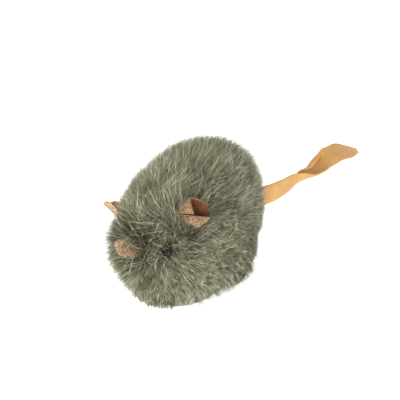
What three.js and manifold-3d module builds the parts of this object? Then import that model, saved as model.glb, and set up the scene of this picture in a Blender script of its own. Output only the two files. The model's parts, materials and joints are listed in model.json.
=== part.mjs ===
// Electric mouse cat toy: a fur coated mouse on a small wheeled drive unit.
// Millimetres, +Z up. The mouse faces -Y and its left side is +X.
import * as THREE from 'three';
import { mergeVertices } from 'three/addons/utils/BufferGeometryUtils.js';
import Module from 'manifold-3d';

const wasm = await Module();
wasm.setup();

// Clearances and counts shared by the whole model
const gap = 0.3;
const runningGap = 0.25;
const cutOverrun = 4;
const roundSides = 16;
const wheelSides = 32;
const smallSides = 8;
const bodySides = 32;
const domeSteps = 7;
const quarterTurn = Math.PI / 2;
const halfTurn = Math.PI;

// Chassis tub
const chassisHalfWidth = 20.5;
const chassisHalfLength = 33;
const chassisRoundness = 2.3;
const groundClearance = 3;
const chassisFloor = 1.2;
const chassisWall = 1.5;
const chassisRimZ = 15;
const tubShares = [
  { height: 0, spread: 0.7 },
  { height: 0.1, spread: 0.78 },
  { height: 0.33, spread: 0.9 },
  { height: 0.66, spread: 1 },
  { height: 1, spread: 1 },
];
const tubHollowShares = [
  { height: 0, spread: 0.7 },
  { height: 0.26, spread: 0.86 },
  { height: 0.63, spread: 1 },
  { height: 1, spread: 1 },
];

// Upper shell
const shellWall = 1.6;
const shellShoulderZ = 22;
const shellTopZ = 48;

// Wadding between the shell and the coat
const paddingSide = 0.9;
const paddingTop = 10.4;
const paddingHemLift = 1;

// Fur coat, as a closed solid of backing and pile
const coatHalfWidth = 29;
const coatHalfLength = 45.5;
const coatHalfHeight = 36;
const coatCentreZ = 38;
const coatHemZ = 13;
const coatRoundness = 2.1;
const coatBellyRoundness = 2.6;
const coatTaperShare = 0.05;
const coatSteps = 7;

// Driving wheels and their axle
const wheelRadius = 10;
const tyreThickness = 2.2;
const tyreShoulder = 0.75;
const wheelWidth = 4;
const wheelInnerX = 12.8;
const axleRadius = 1;
const axleY = 11;
const hubWeb = 1.4;
const hubBossRadius = 2.6;
const hubCap = 0.8;
const wheelWellGap = 1;
const wheelWellSideGap = 0.6;
const wellWall = 0.8;
const bushingRadius = 2.2;
const bushingFlange = 0.5;
const bushingFlangeRadius = 2.9;

// Gears
const gearModule = 0.5;
const axleTeeth = 20;
const idlerLargeTeeth = 22;
const idlerSmallTeeth = 10;
const pinionTeeth = 10;
const addendumShare = 0.8;
const dedendumShare = 1.1;
const pressureAngle = THREE.MathUtils.degToRad(20);
const backlashShare = 0.16;
const meshClearance = 0.1;
const axleGearWidth = 2.4;
const idlerLargeWidth = 1.7;
const pinionWidth = 1.9;
const idlerShaftRadius = 0.6;
const idlerSetback = 1.7;

// Motor
const motorLength = 13.6;
const motorWidth = 12;
const motorHeight = 10;
const motorBossRadius = 2;
const motorBossLength = 1;
const motorShaftRadius = 0.5;
const motorShaftInside = 3;
const motorCapLength = 2;
const terminalLength = 1.4;
const terminalWidth = 1.6;
const terminalThickness = 0.5;
const terminalSpread = 6;

// Drive frame that carries the motor, the idler and the circuit board
const frameSheet = 1;
const gearPlate = 1.4;
const outerGearPlate = 1.3;
const gearPlateX = 3.1;
const gearPlateFrontY = -1.5;
const gearPlateRearY = 13;
const gearPlateDrop = 3.6;
const gearPlateDropY = 5.5;
const frameFrontY = -7.4;
const frameBarWidth = 4.8;
const frameEarX = 16;
const framePostX = 13.8;
const framePostRadius = 2.2;

// Battery bay with three button cells in a row across the body
const cellRadius = 5.8;
const cellLength = 5.4;
const cellCapRadius = 4.9;
const cellCapHeight = 0.5;
const cellCount = 3;
const cellY = -4.4;
const bayWall = 1.2;
const bayEndWall = 1;
const contactSheet = 0.4;
const contactHeight = 9.6;
const contactWidth = 8;
const contactBulge = 0.7;
const contactBulgeRadius = 1.8;
const contactTabWidth = 1.6;
const contactTabLength = 3.6;
const doorThickness = 1.2;
const doorMargin = 1.4;
const doorScrewY = 4.4;

// Caster under the nose
const casterY = -20.5;
const casterWheelRadius = 4;
const casterWheelWidth = 2.6;
const casterTrail = 2.2;
const casterCheek = 1;
const casterCheekRadius = 2.2;
const casterAxleRadius = 0.6;
const casterStemRadius = 1.5;
const casterCrown = 1.2;
const casterSideGap = 0.35;
const casterRoof = 1.4;
const casterWellWall = 1.1;
const casterWellGap = 0.7;
const retainerRadius = 2.6;
const retainerHeight = 1.2;

// Screws
const caseScrewHeadRadius = 1.8;
const caseScrewHeadHeight = 1.2;
const caseScrewRadius = 0.8;
const caseScrewReach = 8;
const caseScrewHeadZ = 8;
const casePostRadius = 2.7;
const frontPostX = 12.5;
const frontPostY = -19;
const rearPostX = 7.5;
const rearPostY = 24;
const smallScrewHeadRadius = 1.4;
const smallScrewHeadHeight = 0.8;
const smallScrewRadius = 0.6;
const smallScrewReach = 4;
const crossSlotWidth = 0.5;
const crossSlotDepth = 0.5;
const crossSlotShare = 0.65;

// Slide switch in the floor behind the axle
const switchY = 19.5;
const switchLength = 8.4;
const switchWidth = 3.6;
const switchHeight = 3.6;
const switchTravel = 2;
const knobLength = 1.8;
const knobWidth = 1.4;
const knobProud = 0.6;
const knobInside = 1;

// Circuit board
const boardThickness = 1;
const boardLeftX = 10.8;
const boardRightX = -9.6;
const boardFrontY = -1;
const boardRearY = 15;
const chipSize = 5;
const chipHeight = 1.4;
const chipPlace = { x: -3, y: 6 };
const capacitorRadius = 2;
const capacitorHeight = 5;
const capacitorPlace = { x: 6.5, y: 3.5 };
const boardScrewPlace = { x: 6.8, y: 11 };

// Leads
const leadRadius = 0.45;
const leadBend = 1.8;
const leadSides = 5;
const leadSteps = 12;

// Suede ears, nose and tail, and bead eyes
const suede = 1;
const earLength = 13.9;
const earMouthRadius = 7;
const earTipRadius = 1.6;
const farEarLength = 14;
const farEarMouthRadius = 3.6;
const earWrap = THREE.MathUtils.degToRad(320);
const earRimShare = 0.16;
const earAcrossSteps = 14;
const earAlongSteps = 3;
const leftEarShares = { across: 0.524, along: -0.598, up: 0.572 };
const leftEarAim = new THREE.Vector3(0.971, 0.225, 0.081);
const rightEarShares = { across: -0.51, along: -0.633, up: 0.286 };
const rightEarAim = new THREE.Vector3(-0.66, -0.06, 0.75);
const noseShares = { across: 0, along: -0.892, up: 0.208 };
const noseAim = new THREE.Vector3(-0.29, -0.79, 0.54);
const noseLength = 10;
const noseRadius = 5.4;
const noseTipRadius = 1.8;
const eyeRadius = 2.6;
const eyeShankRadius = 1;
const eyeShankLength = 3;
const eyeShares = { across: 0.523, along: -0.783, up: 0.157 };
const eyeDepth = 1.2;
const tailWidth = 10.5;
const tailRootZ = 28;
const tailReach = 98;
const tailDroop = 20.5;
const tailSteps = 34;
const tailRootTilt = THREE.MathUtils.degToRad(120);
const tailTwist = THREE.MathUtils.degToRad(-180);
const tailTwistStartShare = 0.26;
const tailTwistEndShare = 0.78;
const tailRoundShare = 0.16;
const tailTipShare = 0.25;
const tailRouteShares = [
  { along: 0, down: 0 },
  { along: 0.2, down: 0.28 },
  { along: 0.53, down: 0.58 },
  { along: 0.81, down: 0.72 },
  { along: 1, down: 1 },
];

// Heights and places worked out from the sizes above
const axleZ = wheelRadius;
const floorTopZ = groundClearance + chassisFloor;
const shellRimZ = chassisRimZ + gap;
const wellInnerX = wheelInnerX - wheelWellSideGap;
const wellRadius = wheelRadius + wheelWellGap;
const wheelOuterX = wheelInnerX + wheelWidth;
const cellZ = groundClearance + doorThickness + gap + cellRadius;
const bayRoofZ = cellZ + cellRadius + gap + bayWall;
const cellPitch = cellLength + gap;
const cellRowHalf = (cellCount * cellPitch - gap) / 2;
const bayHalfX = cellRowHalf + contactSheet + contactBulge + 2 * gap;
const bayHalfY = cellRadius + gap;
const frameBaseZ = bayRoofZ + gap;
const motorZ = frameBaseZ + frameSheet + gap + motorHeight / 2;
const idlerY = axleY - idlerSetback;
const axleToIdler = (gearModule * (axleTeeth + idlerSmallTeeth)) / 2 + meshClearance;
const idlerToMotor = (gearModule * (idlerLargeTeeth + pinionTeeth)) / 2 + meshClearance;
const idlerZ = axleZ + Math.sqrt(axleToIdler ** 2 - idlerSetback ** 2);
const motorY = idlerY - Math.sqrt(idlerToMotor ** 2 - (motorZ - idlerZ) ** 2);
const gearX = gearPlateX + gearPlate + gap;
const idlerLargeX = gearX + axleGearWidth + gap;
const outerPlateX = idlerLargeX + idlerLargeWidth + gap;
const deckZ = motorZ + motorHeight / 2 + gap;
const deckTopZ = deckZ + frameSheet;
const boardZ = deckTopZ + gap;
const casterCrownZ = 2 * casterWheelRadius + casterSideGap;
const casterSweep = Math.hypot(casterTrail + casterWheelRadius, casterWheelWidth / 2);
const casterWellRadius = casterSweep + casterWellGap;
const casterWellTopZ = casterCrownZ + casterCrown + gap;
const switchZ = floorTopZ + gap;
const paddingHalfWidth = chassisHalfWidth + gap + paddingSide;
const paddingHalfLength = chassisHalfLength + gap + paddingSide;
const paddingTopZ = shellTopZ + gap + paddingTop;
const coatTopZ = coatCentreZ + coatHalfHeight;
const tailRootY = paddingHalfLength + gap + tailWidth / 4;

// A place in the coat, from its middle, in shares of the coat's half sizes
function inCoat({ across, along, up }) {
  return new THREE.Vector3(
    across * coatHalfWidth,
    along * coatHalfLength,
    coatCentreZ + up * coatHalfHeight,
  );
}
const leftEarRoot = inCoat(leftEarShares);
const rightEarRoot = inCoat(rightEarShares);
const noseRoot = inCoat(noseShares);

// Materials
function finish(color, roughness, metalness = 0) {
  return new THREE.MeshStandardMaterial({ color, roughness, metalness });
}
const furMaterial = finish(0x81806a, 0.95);
const suedeMaterial = finish(0xd9a878, 0.9);
const tailMaterial = finish(0xe6ae74, 0.75);
const beadMaterial = finish(0x0c0b0a, 0.15);
const casePlastic = finish(0x3b3d3c, 0.5);
const framePlastic = finish(0xd8d4c6, 0.45);
const gearPlastic = finish(0xf0ede2, 0.4);
const hubPlastic = finish(0x55585a, 0.45);
const tyreRubber = finish(0x1b1b1c, 0.85);
const steel = finish(0xb9bcbf, 0.3, 1);
const brass = finish(0xc9a557, 0.35, 1);
const cellSteel = finish(0xc8cacc, 0.22, 1);
const boardGreen = finish(0x1f6b3a, 0.5);
const chipBlack = finish(0x171717, 0.4);
const capNylon = finish(0xe9e6dc, 0.5);
const waddingMaterial = finish(0xefece4, 1);
const redLead = finish(0xb3211c, 0.5);
const blackLead = finish(0x181818, 0.5);
const yellowLead = finish(0xd9b32b, 0.5);

// Solids for joining and cutting
function solidOf(geometry) {
  const bare = geometry.clone();
  bare.deleteAttribute('normal');
  bare.deleteAttribute('uv');
  const merged = mergeVertices(bare);
  return new wasm.Manifold(
    new wasm.Mesh({
      numProp: 3,
      vertProperties: merged.attributes.position.array,
      triVerts: new Uint32Array(merged.index.array),
    }),
  );
}

function geometryOf(solid) {
  const mesh = solid.getMesh();
  const geometry = new THREE.BufferGeometry();
  geometry.setAttribute('position', new THREE.BufferAttribute(mesh.vertProperties, 3));
  geometry.setIndex(new THREE.BufferAttribute(mesh.triVerts, 1));
  geometry.computeVertexNormals();
  return geometry;
}

function joined(first, ...others) {
  return others.reduce((sum, other) => sum.add(solidOf(other)), solidOf(first));
}

function without(solid, ...cutters) {
  return cutters.reduce((rest, cutter) => rest.subtract(solidOf(cutter)), solid);
}

// A closed surface through rings of equal point counts, with a fan at each end
function stack(rings, bottom = centreOf(rings[0]), top = centreOf(rings[rings.length - 1])) {
  const count = rings[0].length;
  const points = [bottom, ...rings.flat(), top];
  const faces = [];
  const at = (ring, index) => 1 + ring * count + (index % count);
  for (let index = 0; index < count; index += 1) {
    faces.push(0, at(0, index + 1), at(0, index));
    for (let ring = 0; ring < rings.length - 1; ring += 1) {
      faces.push(at(ring, index), at(ring, index + 1), at(ring + 1, index + 1));
      faces.push(at(ring, index), at(ring + 1, index + 1), at(ring + 1, index));
    }
    faces.push(points.length - 1, at(rings.length - 1, index), at(rings.length - 1, index + 1));
  }
  const geometry = new THREE.BufferGeometry().setFromPoints(points);
  geometry.setIndex(faces);
  geometry.computeVertexNormals();
  return geometry;
}

function centreOf(ring) {
  return ring.reduce((sum, point) => sum.add(point), new THREE.Vector3()).divideScalar(ring.length);
}

// A rounded oval ring at one height, a little slimmer towards the nose when it tapers
function oval(z, halfWidth, halfLength, roundness, taperShare = 0) {
  return Array.from({ length: bodySides }, (_, index) => {
    const turn = (index / bodySides) * 2 * Math.PI;
    const across = Math.sign(Math.cos(turn)) * Math.abs(Math.cos(turn)) ** (2 / roundness);
    const along = Math.sign(Math.sin(turn)) * Math.abs(Math.sin(turn)) ** (2 / roundness);
    return new THREE.Vector3(across * halfWidth * (1 + taperShare * along), along * halfLength, z);
  });
}

// A dome with upright sides up to its shoulder
function dome(halfWidth, halfLength, rimZ, shoulderZ, topZ) {
  const rings = [oval(rimZ, halfWidth, halfLength, chassisRoundness)];
  for (let step = 0; step < domeSteps; step += 1) {
    const lean = (step / domeSteps) * quarterTurn;
    const spread = Math.cos(lean);
    const z = shoulderZ + (topZ - shoulderZ) * Math.sin(lean);
    rings.push(oval(z, halfWidth * spread, halfLength * spread, chassisRoundness));
  }
  return stack(rings, new THREE.Vector3(0, 0, rimZ), new THREE.Vector3(0, 0, topZ));
}

function box(x0, x1, y0, y1, z0, z1) {
  const geometry = new THREE.BoxGeometry(x1 - x0, y1 - y0, z1 - z0);
  geometry.translate((x0 + x1) / 2, (y0 + y1) / 2, (z0 + z1) / 2);
  return geometry;
}

function rodAlongX(radius, x0, x1, y, z, sides = roundSides) {
  const geometry = new THREE.CylinderGeometry(radius, radius, Math.abs(x1 - x0), sides);
  geometry.rotateZ(quarterTurn);
  geometry.translate((x0 + x1) / 2, y, z);
  return geometry;
}

function rodAlongZ(radius, z0, z1, x, y, sides = roundSides) {
  const geometry = new THREE.CylinderGeometry(radius, radius, z1 - z0, sides);
  geometry.rotateX(quarterTurn);
  geometry.translate(x, y, (z0 + z1) / 2);
  return geometry;
}

// A turned piece whose profile lists radius and height, standing along Z
function turned(profile, sides = roundSides) {
  const geometry = new THREE.LatheGeometry(
    profile.map(([radius, height]) => new THREE.Vector2(radius, height)),
    sides,
  );
  geometry.rotateX(quarterTurn);
  return geometryOf(solidOf(geometry));
}

// The group that holds every piece, placed on its own at the end
const mouse = new THREE.Group();

function add(name, geometry, material, place = new THREE.Vector3()) {
  const mesh = new THREE.Mesh(geometry, material);
  mesh.name = name;
  mesh.position.copy(place);
  mouse.add(mesh);
  return mesh;
}

// Screws with a crossed slot in the head; the head's underside is at the place given
function screwGeometry(headRadius, headHeight, radius, reach) {
  const body = turned(
    [
      [0, reach],
      [radius / 2, reach],
      [radius, reach - radius],
      [radius, 0],
      [headRadius, 0],
      [headRadius, -headHeight / 2],
      [headRadius * crossSlotShare, -headHeight],
      [0, -headHeight],
    ].reverse(),
    smallSides,
  );
  const arm = headRadius * crossSlotShare;
  const half = crossSlotWidth / 2;
  const slotTop = crossSlotDepth - headHeight;
  const low = -headHeight - cutOverrun;
  return geometryOf(
    without(
      solidOf(body),
      box(-arm, arm, -half, half, low, slotTop),
      box(-half, half, -arm, arm, low, slotTop),
    ),
  );
}

const casePosts = [
  { name: 'case_screw_front_left', x: frontPostX, y: frontPostY },
  { name: 'case_screw_front_right', x: -frontPostX, y: frontPostY },
  { name: 'case_screw_rear_left', x: rearPostX, y: rearPostY },
  { name: 'case_screw_rear_right', x: -rearPostX, y: rearPostY },
];

function addCaseScrews() {
  const reach = chassisRimZ + caseScrewReach - caseScrewHeadZ;
  for (const post of casePosts) {
    const screw = screwGeometry(caseScrewHeadRadius, caseScrewHeadHeight, caseScrewRadius, reach);
    add(post.name, screw, steel, new THREE.Vector3(post.x, post.y, caseScrewHeadZ));
  }
}

// Outlines stacked from share tables, scaled to the tub's height
function tub(shares, halfWidth, halfLength, lowZ, highZ, extraTop = 0) {
  const rings = shares.map(({ height, spread }) =>
    oval(
      lowZ + (highZ - lowZ) * height,
      halfWidth * spread,
      halfLength * spread,
      chassisRoundness,
    ),
  );
  if (extraTop > 0) rings.push(oval(highZ + extraTop, halfWidth, halfLength, chassisRoundness));
  return stack(rings);
}

function addChassis() {
  let tubSolid = solidOf(
    tub(tubShares, chassisHalfWidth, chassisHalfLength, groundClearance, chassisRimZ),
  );
  const hollow = tub(
    tubHollowShares,
    chassisHalfWidth - chassisWall,
    chassisHalfLength - chassisWall,
    floorTopZ,
    chassisRimZ,
    cutOverrun,
  );
  const outerBlock = solidOf(
    tub(tubShares, chassisHalfWidth, chassisHalfLength, groundClearance, chassisRimZ),
  );
  const roofBlock = solidOf(
    dome(
      chassisHalfWidth - shellWall - gap,
      chassisHalfLength - shellWall - gap,
      chassisRimZ - gap,
      shellShoulderZ,
      shellTopZ,
    ),
  );
  tubSolid = without(tubSolid, hollow);

  // Wheel boxes rise above the rim inside the shell
  for (const side of [1, -1]) {
    const x0 = side * (wellInnerX - wellWall);
    const x1 = side * (wheelOuterX + wheelWellSideGap + wellWall);
    const arch = solidOf(rodAlongX(wellRadius + wellWall, x0, x1, axleY, axleZ, wheelSides));
    tubSolid = tubSolid.add(arch.intersect(outerBlock.add(roofBlock)));
  }

  // Battery bay, caster tower and posts stand on the floor
  const bayX = bayHalfX + bayEndWall;
  const bayY = bayHalfY + bayWall;
  const inside = outerBlock.add(roofBlock);
  const solids = [
    box(-bayX, bayX, cellY - bayY, cellY + bayY, groundClearance, bayRoofZ),
    rodAlongZ(
      casterWellRadius + casterWellWall,
      groundClearance,
      casterWellTopZ + casterRoof,
      0,
      casterY,
      roundSides,
    ),
    ...casePosts.map((post) =>
      rodAlongZ(casePostRadius, groundClearance, chassisRimZ, post.x, post.y, smallSides),
    ),
    ...[1, -1].map((side) =>
      rodAlongZ(
        framePostRadius,
        groundClearance,
        bayRoofZ,
        side * framePostX,
        frameFrontY + frameBarWidth / 2,
        smallSides,
      ),
    ),
  ];
  for (const piece of solids) tubSolid = tubSolid.add(solidOf(piece).intersect(inside));

  // Wheel wells, open below and at the sides
  for (const side of [1, -1]) {
    const well = rodAlongX(
      wellRadius,
      side * wellInnerX,
      side * (wheelOuterX + wheelWellSideGap),
      axleY,
      axleZ,
      wheelSides,
    );
    const bushingHole = rodAlongX(
      bushingRadius + gap,
      side * (wellInnerX - wellWall - cutOverrun / 2),
      side * (wellInnerX + cutOverrun / 2),
      axleY,
      axleZ,
    );
    tubSolid = without(tubSolid, well, bushingHole);
  }

  // Battery bay hollow and the seat of its door
  const doorSeat = doorOutline(gap);
  const contactSlots = [1, -1].map((side) => contactTab(side, gap));
  tubSolid = without(
    tubSolid,
    box(-bayHalfX, bayHalfX, cellY - bayHalfY, cellY + bayHalfY, 0, bayRoofZ - bayWall),
    doorSeat,
    ...contactSlots,
    rodAlongZ(smallScrewRadius + gap, groundClearance, cellZ, 0, doorScrewPlaceY(), smallSides),
  );

  // Caster well and the hole for its stem
  tubSolid = without(
    tubSolid,
    rodAlongZ(casterWellRadius, 0, casterWellTopZ, 0, casterY, roundSides),
    rodAlongZ(
      casterStemRadius + runningGap,
      casterWellTopZ - cutOverrun / 2,
      casterWellTopZ + casterRoof + cutOverrun,
      0,
      casterY,
      roundSides,
    ),
  );

  // Screw holes
  const screwHoles = casePosts.flatMap((post) => [
    rodAlongZ(caseScrewHeadRadius + gap, 0, caseScrewHeadZ, post.x, post.y, smallSides),
    rodAlongZ(
      caseScrewRadius + gap,
      groundClearance,
      chassisRimZ + cutOverrun,
      post.x,
      post.y,
      smallSides,
    ),
  ]);
  const frameHoles = [1, -1].map((side) =>
    rodAlongZ(
      smallScrewRadius + gap,
      bayRoofZ - smallScrewReach,
      bayRoofZ + cutOverrun,
      side * framePostX,
      frameFrontY + frameBarWidth / 2,
      smallSides,
    ),
  );

  // Pocket for the switch and slot for its knob
  const pocket = box(
    -switchLength / 2 - gap,
    switchLength / 2 + gap,
    switchY - switchWidth / 2 - gap,
    switchY + switchWidth / 2 + gap,
    floorTopZ,
    switchZ + switchHeight + gap,
  );
  const slotHalf = (knobLength + switchTravel) / 2 + gap;
  const slotWide = knobWidth / 2 + gap;
  const knobSlot = box(
    -slotHalf,
    slotHalf,
    switchY - slotWide,
    switchY + slotWide,
    0,
    floorTopZ + gap,
  );
  tubSolid = without(tubSolid, ...screwHoles, ...frameHoles, pocket, knobSlot);
  add('chassis_base', geometryOf(tubSolid), casePlastic);
}

function doorScrewPlaceY() {
  return cellY + bayHalfY + doorMargin / 2 + doorScrewY / 2;
}

// The battery door's plate with an ear for its screw, grown by a margin for its seat
function doorOutline(grow) {
  const halfX = bayHalfX - bayEndWall + grow;
  const lowZ = groundClearance - (grow > 0 ? cutOverrun : 0);
  const highZ = groundClearance + doorThickness + grow / 2;
  const frontY = cellY - bayHalfY - grow;
  const rearY = cellY + bayHalfY + doorMargin + grow;
  const earRadius = smallScrewHeadRadius + doorMargin + grow;
  const plate = solidOf(box(-halfX, halfX, frontY, rearY, lowZ, highZ));
  const ear = solidOf(rodAlongZ(earRadius, lowZ, highZ, 0, doorScrewPlaceY(), roundSides));
  return geometryOf(plate.add(ear));
}

function addBatteryDoor() {
  const y = doorScrewPlaceY();
  const headTop = groundClearance + smallScrewHeadHeight;
  const door = without(
    solidOf(doorOutline(0)),
    rodAlongZ(smallScrewHeadRadius + gap, 0, headTop, 0, y, smallSides),
    rodAlongZ(smallScrewRadius + gap, 0, headTop + cutOverrun, 0, y, smallSides),
  );
  add('battery_door', geometryOf(door), casePlastic);
  const screw = screwGeometry(
    smallScrewHeadRadius,
    smallScrewHeadHeight - gap,
    smallScrewRadius,
    smallScrewReach,
  );
  add('battery_door_screw', screw, steel, new THREE.Vector3(0, y, headTop - gap));
}

// Button cells, each a can with a smaller cap on its negative end
function addCells() {
  const canLength = cellLength - cellCapHeight;
  for (let index = 0; index < cellCount; index += 1) {
    const cell = turned(
      [
        [0, 0],
        [cellRadius - cellCapHeight / 2, 0],
        [cellRadius, cellCapHeight / 2],
        [cellRadius, canLength],
        [cellCapRadius, canLength],
        [cellCapRadius, cellLength],
        [0, cellLength],
      ],
      roundSides,
    );
    cell.rotateY(quarterTurn);
    const x = -cellRowHalf + index * cellPitch;
    add(`button_cell_${index + 1}`, cell, cellSteel, new THREE.Vector3(x, cellY, cellZ));
  }
}

// The tab that carries a contact's solder joint up through the bay roof
function contactTab(side, grow) {
  const x0 = side * (bayHalfX - contactSheet - gap) - (side > 0 ? grow : -grow);
  const x1 = side * (bayHalfX - gap) + (side > 0 ? grow : -grow);
  const y0 = cellY - bayHalfY + gap;
  const topZ = bayRoofZ + (grow > 0 ? cutOverrun : contactTabLength / 2);
  return box(
    Math.min(x0, x1),
    Math.max(x0, x1),
    y0 - grow,
    y0 + contactTabWidth + grow,
    cellZ - contactHeight / 2 + contactTabLength,
    topZ,
  );
}

function addContacts() {
  for (const [side, name] of [
    [1, 'battery_contact_negative'],
    [-1, 'battery_contact_positive'],
  ]) {
    const x0 = side * (bayHalfX - contactSheet - gap);
    const x1 = side * (bayHalfX - gap);
    const y0 = cellY - bayHalfY + gap;
    const plate = box(
      Math.min(x0, x1),
      Math.max(x0, x1),
      y0,
      y0 + contactWidth,
      cellZ - contactHeight / 2,
      cellZ + contactHeight / 2,
    );
    const bulge = rodAlongX(contactBulgeRadius, x0, x0 - side * contactBulge, cellY, cellZ);
    add(name, geometryOf(joined(plate, bulge, contactTab(side, 0))), brass);
  }
}

// Gear outlines with involute flanks, a bore and a first tooth at the given angle
function gearShape(teeth, phase, boreRadius) {
  const pitchRadius = (gearModule * teeth) / 2;
  const baseRadius = pitchRadius * Math.cos(pressureAngle);
  const tipRadius = pitchRadius + addendumShare * gearModule;
  const rootRadius = pitchRadius - dedendumShare * gearModule;
  const involute = (angle) => Math.tan(angle) - angle;
  const pitchHalf = (halfTurn / 2 / teeth) * (1 - backlashShare);
  const halfAngleAt = (radius) => {
    const pressure = Math.acos(Math.min(1, baseRadius / radius));
    return pitchHalf + involute(pressureAngle) - involute(pressure);
  };
  const flank = [rootRadius, pitchRadius, tipRadius].map((radius) => ({
    radius,
    half: halfAngleAt(Math.max(radius, baseRadius)),
  }));
  const points = [];
  for (let tooth = 0; tooth < teeth; tooth += 1) {
    const middle = phase + (tooth * 2 * Math.PI) / teeth;
    for (const { radius, half } of flank) points.push(polar(radius, middle - half));
    for (const { radius, half } of [...flank].reverse()) points.push(polar(radius, middle + half));
  }
  const shape = new THREE.Shape(points);
  if (boreRadius > 0) {
    const bore = Array.from({ length: smallSides }, (_, index) =>
      polar(boreRadius, (-index / smallSides) * 2 * Math.PI),
    );
    shape.holes.push(new THREE.Path(bore));
  }
  return shape;
}

function polar(radius, angle) {
  return new THREE.Vector2(radius * Math.cos(angle), radius * Math.sin(angle));
}

// Gears turn about X: the outline's angle 0 points down and a quarter turn points to +Y
function gearAlongX(teeth, width, phase, boreRadius) {
  const geometry = new THREE.ExtrudeGeometry(gearShape(teeth, phase, boreRadius), {
    depth: width,
    bevelEnabled: false,
  });
  geometry.rotateY(quarterTurn);
  return geometry;
}

function meshAngle(fromY, fromZ, toY, toZ) {
  return Math.atan2(toY - fromY, fromZ - toZ);
}

function addGears() {
  const toIdler = meshAngle(axleY, axleZ, idlerY, idlerZ);
  const toAxle = meshAngle(idlerY, idlerZ, axleY, axleZ);
  const toMotor = meshAngle(idlerY, idlerZ, motorY, motorZ);
  const fromMotor = meshAngle(motorY, motorZ, idlerY, idlerZ);
  const smallGap = toAxle + halfTurn / idlerSmallTeeth;
  const axleGear = gearAlongX(axleTeeth, axleGearWidth, toIdler, axleRadius + runningGap / 2);
  add('axle_gear', axleGear, gearPlastic, new THREE.Vector3(gearX, axleY, axleZ));

  const bore = idlerShaftRadius + runningGap;
  const small = gearAlongX(idlerSmallTeeth, axleGearWidth + 2 * gap, smallGap, bore);
  const large = gearAlongX(idlerLargeTeeth, idlerLargeWidth, toMotor, bore);
  large.translate(axleGearWidth + gap, 0, 0);
  const idler = geometryOf(joined(small, large));
  add('idler_gear', idler, gearPlastic, new THREE.Vector3(gearX, idlerY, idlerZ));

  const pinionPhase = fromMotor + halfTurn / pinionTeeth;
  const pinion = gearAlongX(pinionTeeth, pinionWidth, pinionPhase, motorShaftRadius + runningGap / 2);
  add('motor_pinion', pinion, brass, new THREE.Vector3(idlerLargeX - gap / 2, motorY, motorZ));

  const shaftEnd = outerPlateX + outerGearPlate;
  const idlerShaft = rodAlongX(idlerShaftRadius, gearPlateX, shaftEnd, 0, 0, smallSides);
  add('idler_shaft', idlerShaft, steel, new THREE.Vector3(0, idlerY, idlerZ));
}

function motorOutline() {
  const halfFlat = motorHeight / 2;
  const radius = motorWidth / 2;
  const corner = Math.asin(halfFlat / radius);
  const shape = new THREE.Shape();
  shape.absarc(0, 0, radius, -corner, corner, false);
  shape.absarc(0, 0, radius, Math.PI - corner, Math.PI + corner, false);
  return shape;
}

// The motor lies across the body with its shaft towards +X
function addMotor() {
  const frontX = gearPlateX - gap;
  const canLength = motorLength - motorCapLength - gap;
  const solidAlongX = (length) => {
    const geometry = new THREE.ExtrudeGeometry(motorOutline(), {
      depth: length,
      bevelEnabled: false,
      curveSegments: smallSides / 2,
    });
    geometry.rotateX(quarterTurn);
    geometry.rotateZ(quarterTurn);
    return geometry;
  };
  const canBody = solidAlongX(canLength);
  canBody.translate(-canLength, 0, 0);
  const boss = rodAlongX(motorBossRadius, -gap, motorBossLength, 0, 0, roundSides);
  const bore = rodAlongX(
    motorShaftRadius + runningGap,
    -motorShaftInside - runningGap,
    motorBossLength + cutOverrun,
    0,
    0,
    smallSides,
  );
  const can = geometryOf(without(joined(canBody, boss), bore));
  add('motor_can', can, steel, new THREE.Vector3(frontX, motorY, motorZ));

  const cap = solidAlongX(motorCapLength);
  const tabs = [1, -1].map((side) =>
    box(
      -terminalLength,
      gap,
      (side * terminalSpread) / 2 - terminalWidth / 2,
      (side * terminalSpread) / 2 + terminalWidth / 2,
      -terminalThickness / 2,
      terminalThickness / 2,
    ),
  );
  const capPlace = new THREE.Vector3(frontX - motorLength, motorY, motorZ);
  add('motor_end_cap', geometryOf(joined(cap, ...tabs)), capNylon, capPlace);

  const shaftEnd = idlerLargeX - gap / 2 + pinionWidth - frontX;
  const shaft = rodAlongX(motorShaftRadius, -motorShaftInside, shaftEnd, 0, 0, smallSides);
  add('motor_shaft', shaft, steel, new THREE.Vector3(frontX, motorY, motorZ));
}

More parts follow.
